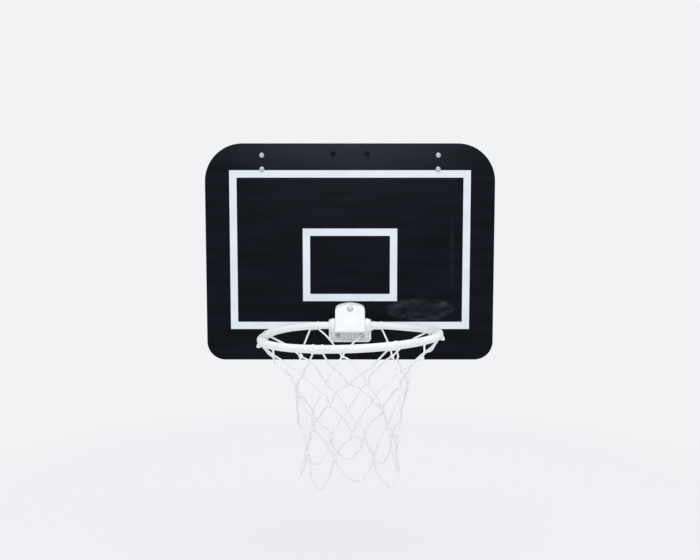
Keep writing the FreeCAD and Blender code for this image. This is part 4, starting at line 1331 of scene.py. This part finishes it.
@dataclass
class Rim:
    """Bent rod, the core that its ends are pinned in, and the twist that the bending left in it."""

    places: Places
    ring: float = 228.6
    rod: float = 10.0
    rod_sides: int = 32
    rod_steps: int = 260
    bend: float = 30.0
    half_bar: float = 31.0
    end_gap: float = 3.0
    twist_deg: float = 2.1
    droop_deg: float = 0.35
    core_round: float = 0.4
    pin_round: float = 0.2

    @property
    def depth(self) -> float:
        """Distance from the hinge to the ring's middle."""
        return self.bend + math.sqrt((self.ring / 2 - self.bend) ** 2 - self.half_bar ** 2)

    @property
    def turn(self) -> float:
        """Angle of each small bend, in radians."""
        return math.atan2(self.half_bar, self.depth - self.bend)

    @property
    def reach(self) -> float:
        """Length of the path from the front to the start of a straight end."""
        return self.ring / 2 * (math.pi - self.turn) + self.bend * self.turn

    def settle(self, point: Vector) -> Vector:
        """Move a point with the ring's twist, which grows up to its middle, and with its droop.

        Args:
            point: Point on the flat, level ring.

        Returns:
            The point where it is.
        """
        ahead = max(self.places.hinge.y - point.y - self.rod, 0.0)
        share = min(ahead / (self.depth - self.rod), 1.0)
        share = share * share * (3 - 2 * share)
        twist = share * math.tan(math.radians(self.twist_deg)) * point.x
        return point + UP * (twist - math.tan(math.radians(self.droop_deg)) * ahead)

    def flat_point(self, distance: float) -> Vector:
        """Point on the untwisted path.

        Args:
            distance: Distance along the path from the front, towards +X.

        Returns:
            The point.
        """
        sign = 1 if distance >= 0 else -1
        far, radius = abs(distance), self.ring / 2
        largest = math.pi - self.turn
        if far <= largest * radius:
            angle = far / radius
            x, y = radius * math.sin(angle), -self.depth - radius * math.cos(angle)
        elif far <= self.reach:
            angle = largest + (far - largest * radius) / self.bend
            x = self.half_bar + self.bend * math.sin(angle)
            y = -self.bend - self.bend * math.cos(angle)
        else:
            x, y = self.half_bar - (far - self.reach), 0
        return self.places.hinge + Vector((sign * x, y, 0))

    def point(self, distance: float) -> Vector:
        """Point on the rod's path as it is."""
        return self.settle(self.flat_point(distance))

    def build(self, frame: Frame) -> None:
        """Make and dress every piece of the rim but its net.

        Args:
            frame: The loaded frame.
        """
        whole = self.reach + self.half_bar - self.end_gap / 2
        path = [self.point(whole * (2 * step / self.rod_steps - 1))
                for step in range(self.rod_steps + 1)]
        corners = round_section(self.rod / 2, self.rod_sides)
        build = Build().add(sweep(path, lambda _: corners))
        piece("rim_rod", build.mesh("rim_rod"), Body.RIM, RIM_WHITE, "rim_ring")
        dress_node(frame, "hinge_core", CORE_GREY, self.core_round)
        dress_node(frame, "core_pins", FASTENER_STEEL, self.pin_round)


@dataclass(frozen=True)
class Slant:
    """Shares of its way aside and of its fall that a cord makes near its start and its end."""

    start: Pair
    end: Pair


@dataclass
class Net:
    """Knotted cord net: double hitches on the rod, four rows of knots and hanging loops."""

    rim: Rim
    seed: int = 7
    meshes: int = 8
    shift: float = 6.0
    # Radius, and drop below the hinge, of each row of knots and of the loops' feet
    rows: Profile = ((85, 43), (73, 75), (66, 113), (60, 145), (62, 180))
    cord: float = 2.6
    cord_sides: int = 9
    strands: int = 3
    # Mean radius of the laid section, and its strands' relief, as shares of the cord's radius
    lay_form: Pair = (0.965, 0.035)
    twist_mm: float = 10.5
    step_mm: float = 1.0
    # How far limp cord strays from its curve, and points of the curve that it strays at
    wander: float = 1.8
    stations: int = 4
    run_slant: Slant = Slant((0.42, 0.26), (0.10, 0.40))
    front_slant: Slant = Slant((0.12, 0.30), (0.28, 0.32))
    rear_slant: Slant = Slant((0.45, 0.30), (0.10, 0.32))
    # Distance between a hitch's two turns, and the gap left beside the bracket
    pair: float = 13.4
    end_gap: float = 0.6
    wrap_width: float = 2.8
    wrap_thickness: float = 0.7
    wrap_gap: float = 0.04
    wrap_lean: float = 0.9
    wrap_steps: int = 40
    wrap_sides: int = 10
    # Depth of a cord's start in the flattened turn, as a share of its thickness
    root: float = 0.6
    # Distance to both sides over which the rod's heading is taken
    probe: float = 0.5
    # How far single hitches have slid along the rod from the even pattern
    slides: dict[int, float] = field(default_factory=lambda: {-2: -11.0, 1: 8.0})
    # Turns at the far left and right that stand in a lump outside the rod
    lumped: tuple[tuple[int, Side], ...] = ((-2, Side.LEFT), (1, Side.RIGHT))
    lump: float = 4.0
    lump_deg: float = 51.0
    lump_power: int = 12
    knot_size: float = 0.78
    knot_cord: float = 0.42
    knot_rise: float = 1.4
    knot_steps: int = 54
    # Half width of a loop's foot, and how far the foot and the arms stray
    loop_half: Pair = (9.0, 13.0)
    foot_stray: float = 2.0
    arm_stray: float = 1.2
    # Share of the way down a loop's arm, and of its fall that it sags there, at two places
    arm_form: Profile = ((0.3, 0.06), (0.62, 0.04))
    # Share of the fall where the foot begins, and of its half width and of the fall in its round
    foot_start: float = 0.2
    foot_form: Pair = (0.62, 0.04)
    # How far single knots sit from the even pattern, across and up, by row and column
    nudges: dict[tuple[int, int], Pair] = field(default_factory=lambda: {
        (1, -4): (-6, 3), (1, -3): (-3, 9), (1, -2): (-12, 13), (1, -1): (-1, 3),
        (1, 0): (-6, -5), (1, 1): (0, 4), (1, 2): (8, 10), (1, 3): (0, 4),
        (2, -2): (-2, 8), (2, -1): (-2, -2), (2, 0): (-3, 0), (2, 1): (5, 10),
        (3, -1): (-2, 2), (3, 0): (1, -2), (3, 1): (-1, 3),
        (4, -2): (0, -2), (4, -1): (1, -1), (4, 0): (3, -4), (4, 1): (3, -2),
        (5, -1): (5, -6), (5, 0): (6, 7), (5, 1): (7, -6)})
    draw: random.Random = field(init=False)
    lines: Build = field(init=False, default_factory=Build)
    knots: Build = field(init=False, default_factory=Build)

    def __post_init__(self) -> None:
        """Start the seeded draw."""
        self.draw = random.Random(self.seed)

    def build(self) -> None:
        """Make and dress the net."""
        half = self.meshes // 2
        for column in range(-half, self.meshes - half):
            self.hitch(column)
            for row in (1, 2, 3):
                left = column - row % 2
                for lower in (left, left + 1):
                    self.run(self.knot(row, column), self.knot(row + 1, lower), self.run_slant)
            self.loop(column)
            for row in (1, 2, 3, 4):
                self.tie(self.knot(row, column))
        for name, build in (("net_cord", self.lines), ("net_knots", self.knots)):
            piece(name, build.mesh(name, CORD_DEG), Body.RIM, NET_CORD, "net")

    def knot(self, row: int, column: int) -> Vector:
        """Place of a knot, or of a loop's lowest point in row 5.

        Args:
            row: Row from the rod down, from 1.
            column: Column from the front, towards +X.

        Returns:
            Its middle.
        """
        reach, drop = self.rows[row - 1]
        turn = self.shift / (self.rim.ring / 2)
        angle = turn + 2 * math.pi * (column + (0 if row % 2 else 0.5)) / self.meshes
        spot = self.rim.places.hinge + Vector((
            reach * math.sin(angle), -self.rim.depth - reach * math.cos(angle), -drop))
        spot += UP * math.tan(math.radians(self.rim.twist_deg)) * spot.x
        half = self.meshes // 2
        across, up = self.nudges.get((row, (column + half) % self.meshes - half), (0, 0))
        return spot + Vector((across, 0, up))

    def lay(self, distance: float) -> Outline:
        """Section of the laid cord, whose strands turn along it.

        Args:
            distance: Distance along the cord.

        Returns:
            Corners of the section.
        """
        turn = 2 * math.pi * distance / self.twist_mm
        mean, relief = self.lay_form
        corners = []
        for index in range(self.cord_sides):
            angle = 2 * math.pi * index / self.cord_sides
            reach = self.cord / 2 * (mean + relief * math.cos(self.strands * angle))
            corners.append((reach * math.cos(angle + turn), reach * math.sin(angle + turn)))
        return corners

    def jitter(self, size: float) -> Vector:
        """Small seeded offset."""
        return Vector([self.draw.uniform(-size, size) for _ in range(3)])

    def run(self, upper: Vector, lower: Vector, slant: Slant) -> None:
        """Cord from a knot or hitch down to a knot, wandering a little as limp cord does.

        Args:
            upper: Its start.
            lower: Its end.
            slant: How it leaves and how it comes in.
        """
        way = lower - upper
        level, fall = Vector((way.x, way.y, 0)), Vector((0, 0, way.z))
        first = upper + level * slant.start[0] + fall * slant.start[1]
        second = lower - level * slant.end[0] - fall * slant.end[1]
        curve = bezier(upper, first, second, lower, self.stations)
        bent = [upper, *(station + self.jitter(self.wander) for station in curve[1:]), lower]
        self.lines.add(sweep(smooth_path(bent, self.step_mm), self.lay))

    def hitch(self, column: int) -> None:
        """Two turns of cord drawn flat on the rod, the bar between them and the cords down.

        Args:
            column: Column from the front, towards +X.
        """
        half_pair = self.pair / 2
        last = self.rim.reach - self.shift - half_pair - self.end_gap
        even = self.shift + last * (2 * column + 1) / (self.meshes - 1)
        middle = even + self.slides.get(column, 0.0)
        for side in Side:
            spot = middle + side.value * half_pair
            self.wrap(spot, side, self.lump if (column, side) in self.lumped else 0.0)
            rear = abs(spot) > self.rim.ring * math.pi / 4
            knot = self.knot(1, column if side is Side.LEFT else column + 1)
            self.run(self.under(spot), knot, self.rear_slant if rear else self.front_slant)
        count = round(self.pair / self.step_mm)
        bar = [self.under(middle + half_pair * (2 * step / count - 1)) for step in range(count + 1)]
        thin = round_section(self.wrap_thickness / 2, self.wrap_sides)
        self.lines.add(sweep(bar, lambda _: thin))

    def across_rod(self, distance: float) -> tuple[Vector, Vector, Vector, Vector]:
        """Point on the rod's path with its directions.

        Args:
            distance: Distance along the rod.

        Returns:
            The point, the rod's heading, its outward side and its upper side.
        """
        ahead, behind = (self.rim.point(distance + step) for step in (self.probe, -self.probe))
        heading = (ahead - behind).normalized()
        outward = heading.cross(UP).normalized()
        return self.rim.point(distance), heading, outward, outward.cross(heading)

    def under(self, distance: float) -> Vector:
        """Point in the flattened cord below the rod."""
        here, _, _, over = self.across_rod(distance)
        return here - over * (self.rim.rod / 2 + self.wrap_gap + self.wrap_thickness * self.root)

    def wrap(self, distance: float, side: Side, lump: float) -> None:
        """One turn of cord drawn flat round the rod, leaning towards its pair on top.

        Args:
            distance: Middle of the turn along the rod.
            side: Which turn of the pair.
            lump: How much thicker the cord is outside the rod.
        """
        steps, sides = self.wrap_steps, self.wrap_sides
        points: Points = []
        faces: Faces = []
        for step in range(steps):
            angle = 2 * math.pi * step / steps
            along = distance - side.value * self.wrap_lean * (1 - math.cos(angle)) / 2
            here, heading, outward, over = self.across_rod(along)
            spoke = outward * math.sin(angle) - over * math.cos(angle)
            swell = max(math.cos(angle - math.radians(self.lump_deg)), 0.0) ** self.lump_power
            thickness = self.wrap_thickness + lump * swell
            reach = self.rim.rod / 2 + self.wrap_gap + thickness / 2
            points += [here + spoke * (reach + a * thickness / 2)
                       + heading * (b * self.wrap_width / 2) for a, b in round_section(1.0, sides)]
            faces += band(step * sides, (step + 1) % steps * sides, sides)
        self.lines.add((points, faces))

    def loop(self, column: int) -> None:
        """Loose loop between two knots of the last row: steep sides and a wide round foot.

        Args:
            column: Column from the front, towards +X.
        """
        left, right = self.knot(4, column - 1), self.knot(4, column)
        end = self.knot(5, column) + self.jitter(self.foot_stray)
        across = (right - left).normalized()
        half = self.draw.uniform(*self.loop_half)
        (upper, upper_sag), (lower, lower_sag) = self.arm_form
        width, rise = self.foot_form
        path = [left]
        for knot, side in ((left, Side.LEFT), (right, Side.RIGHT)):
            out = side.value * half
            foot = end + across * out
            fall = UP * (knot.z - end.z)
            arm = [knot.lerp(foot, upper) - fall * upper_sag + self.jitter(self.arm_stray),
                   knot.lerp(foot, lower) - fall * lower_sag, foot + fall * self.foot_start,
                   end + across * (out * width) + fall * rise]
            path += arm if side is Side.LEFT else [end] + arm[::-1]
        path.append(right)
        self.lines.add(sweep(smooth_path(path, self.step_mm), self.lay))

    def tie(self, centre: Vector) -> None:
        """Overhand knot pulled tight, as a closed three-lobed turn of cord.

        Args:
            centre: Its middle.
        """
        tilt = Quaternion(self.jitter(1.0).normalized(), self.draw.uniform(0, math.pi))
        path = []
        for step in range(self.knot_steps):
            t = 2 * math.pi * step / self.knot_steps
            spot = Vector((math.sin(t) + 2 * math.sin(2 * t), math.cos(t) - 2 * math.cos(2 * t),
                           -self.knot_rise * math.sin(3 * t)))
            path.append(centre + tilt @ (spot * self.knot_size))
        corners = round_section(self.cord * self.knot_cord, self.wrap_sides)
        self.knots.add(sweep(path, lambda _: corners, closed=True))


@dataclass(frozen=True)
class Softbox:
    """Square lamp: its place and size in metres, and its power in watts."""

    place: Triple
    size: float
    power: float


@dataclass
class Studio:
    """Camera of the photograph, a pale floor and plain soft light, in metres."""

    eye: Triple = (0.0, -1.440, -0.06875)
    pitch_deg: float = -6.385
    lens: float = 52.3
    sensor: float = 36.0
    shift_y: float = 0.0534
    paper: str = "#f1f2f4"
    ambient: float = 0.89
    aim: Triple = (0.0, -0.05, -0.15)
    lamps: tuple[Softbox, ...] = (Softbox((-0.2, -2.3, 0.65), 1.3, 1.6),
                                  Softbox((0.1, -0.6, 1.7), 1.4, 14.0),
                                  Softbox((0.0, 1.6, 1.5), 1.6, 8.0))
    floor_white: str = "#e4e5e7"
    floor_level: float = -0.62
    floor_half: float = 3.0
    floor_middle: float = 0.45
    floor_radius: float = 0.9
    # Reach, in radii, over which the floor melts into the paper, and the paper's least share where
    # the floor is seen
    floor_fade: Pair = (0.15, 1.04)
    floor_glow: float = 0.7

    def build(self) -> None:
        """Set the camera, the light, the world and the floor."""
        scene = bpy.context.scene
        scene.view_settings.view_transform = "Standard"
        data = bpy.data.cameras.new("camera")
        data.lens, data.sensor_width, data.shift_y = self.lens, self.sensor, self.shift_y
        camera = bpy.data.objects.new("camera", data)
        camera.location = self.eye
        camera.rotation_euler = (math.radians(90 + self.pitch_deg), 0, 0)
        scene.collection.objects.link(camera)
        scene.camera = camera
        for number, softbox in enumerate(self.lamps, 1):
            self.lamp(f"softbox_{number}", softbox)
        self.world()
        self.floor()

    def lamp(self, name: str, softbox: Softbox) -> None:
        """Hang a softbox that looks at the rim.

        Args:
            name: Name of the lamp.
            softbox: Its place, size and power.
        """
        data = bpy.data.lights.new(name, "AREA")
        data.size, data.energy = softbox.size, softbox.power
        lamp = bpy.data.objects.new(name, data)
        lamp.location = softbox.place
        lamp.rotation_mode = "QUATERNION"
        way = Vector(self.aim) - Vector(softbox.place)
        lamp.rotation_quaternion = way.to_track_quat("-Z", "Y")
        bpy.context.scene.collection.objects.link(lamp)

    def seen(self, tree: Tree) -> Socket:
        """Tell rays that show the studio from rays that light the object.

        Args:
            tree: Tree of the world or of the floor's material.

        Returns:
            A socket that is 1 for rays from the camera, a mirror or glass, and 0 for light.
        """
        path = add_node(tree, "ShaderNodeLightPath").outputs
        either = add_node(tree, "ShaderNodeMath", {
            0: path["Is Camera Ray"], 1: path["Is Glossy Ray"]}, operation="MAXIMUM").outputs[0]
        return add_node(tree, "ShaderNodeMath", {
            0: either, 1: path["Is Transmission Ray"]}, operation="MAXIMUM").outputs[0]

    def world(self) -> None:
        """Pale paper behind, and an even glow at a plain level."""
        world = bpy.data.worlds.new("studio")
        world.use_nodes = True
        bpy.context.scene.world = world
        tree = world.node_tree
        tree.nodes.clear()
        glow, paper = (add_node(tree, "ShaderNodeBackground", {
            "Color": linear(self.paper), "Strength": strength}) for strength in (self.ambient, 1.0))
        both = add_node(tree, "ShaderNodeMixShader", {
            0: self.seen(tree), 1: glow.outputs[0], 2: paper.outputs[0]})
        add_node(tree, "ShaderNodeOutputWorld", {"Surface": both.outputs[0]})

    def floor(self) -> None:
        """White floor that melts into the paper away from its middle."""
        half = self.floor_half / MM
        corners = [Vector((a * half, b * half, self.floor_level / MM))
                   for a, b in ((-1, -1), (1, -1), (1, 1), (-1, 1))]
        mesh = Build().add((corners, [(0, 1, 2, 3)])).mesh("floor")
        floor = bpy.data.objects.new("floor", mesh)
        bpy.context.scene.collection.objects.link(floor)
        mesh.materials.append(self.floor_paper())

    def floor_paper(self) -> bpy.types.Material:
        """Matt white card that keeps the object's shadow and glows like the paper at its border.

        Returns:
            The floor's material.
        """
        material = bpy.data.materials.new("floor_paper")
        material.use_nodes = True
        tree = material.node_tree
        tree.nodes.clear()
        where = add_node(tree, "ShaderNodeTexCoord").outputs["Object"]
        local = add_node(tree, "ShaderNodeMapping", {
            "Vector": where, "Location": (0, self.floor_middle, self.floor_level),
            "Scale": (self.floor_radius,) * 3}, vector_type="TEXTURE").outputs["Vector"]
        reach = add_node(tree, "ShaderNodeVectorMath", {0: local}, operation="LENGTH")
        away = add_node(tree, "ShaderNodeMapRange", {
            "Value": reach.outputs["Value"], "From Min": self.floor_fade[0],
            "From Max": self.floor_fade[1]}, interpolation_type="SMOOTHSTEP").outputs["Result"]
        lift = add_node(tree, "ShaderNodeMath", {
            0: self.seen(tree), 1: self.floor_glow}, operation="MULTIPLY").outputs[0]
        share = add_node(tree, "ShaderNodeMath", {0: away, 1: lift}, operation="MAXIMUM").outputs[0]
        card = add_node(tree, "ShaderNodeBsdfDiffuse", {"Color": linear(self.floor_white)})
        paper = add_node(tree, "ShaderNodeEmission", {"Color": linear(self.paper), "Strength": 1.0})
        both = add_node(tree, "ShaderNodeMixShader", {
            0: share, 1: card.outputs[0], 2: paper.outputs[0]})
        add_node(tree, "ShaderNodeOutputMaterial", {"Surface": both.outputs[0]})
        return material


def main() -> None:
    """Build the sub-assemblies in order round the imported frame."""
    logging.basicConfig(level=logging.INFO, format="%(message)s")
    for obj in list(bpy.data.objects):
        bpy.data.objects.remove(obj)
    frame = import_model()
    places = Places.read(frame)
    Board(places).build(frame)
    DoorHooks(places).build(frame)
    Bracket(places).build(frame)
    rim = Rim(places)
    rim.build(frame)
    Net(rim).build()
    Studio().build()


if __name__ == "__main__":
    main()
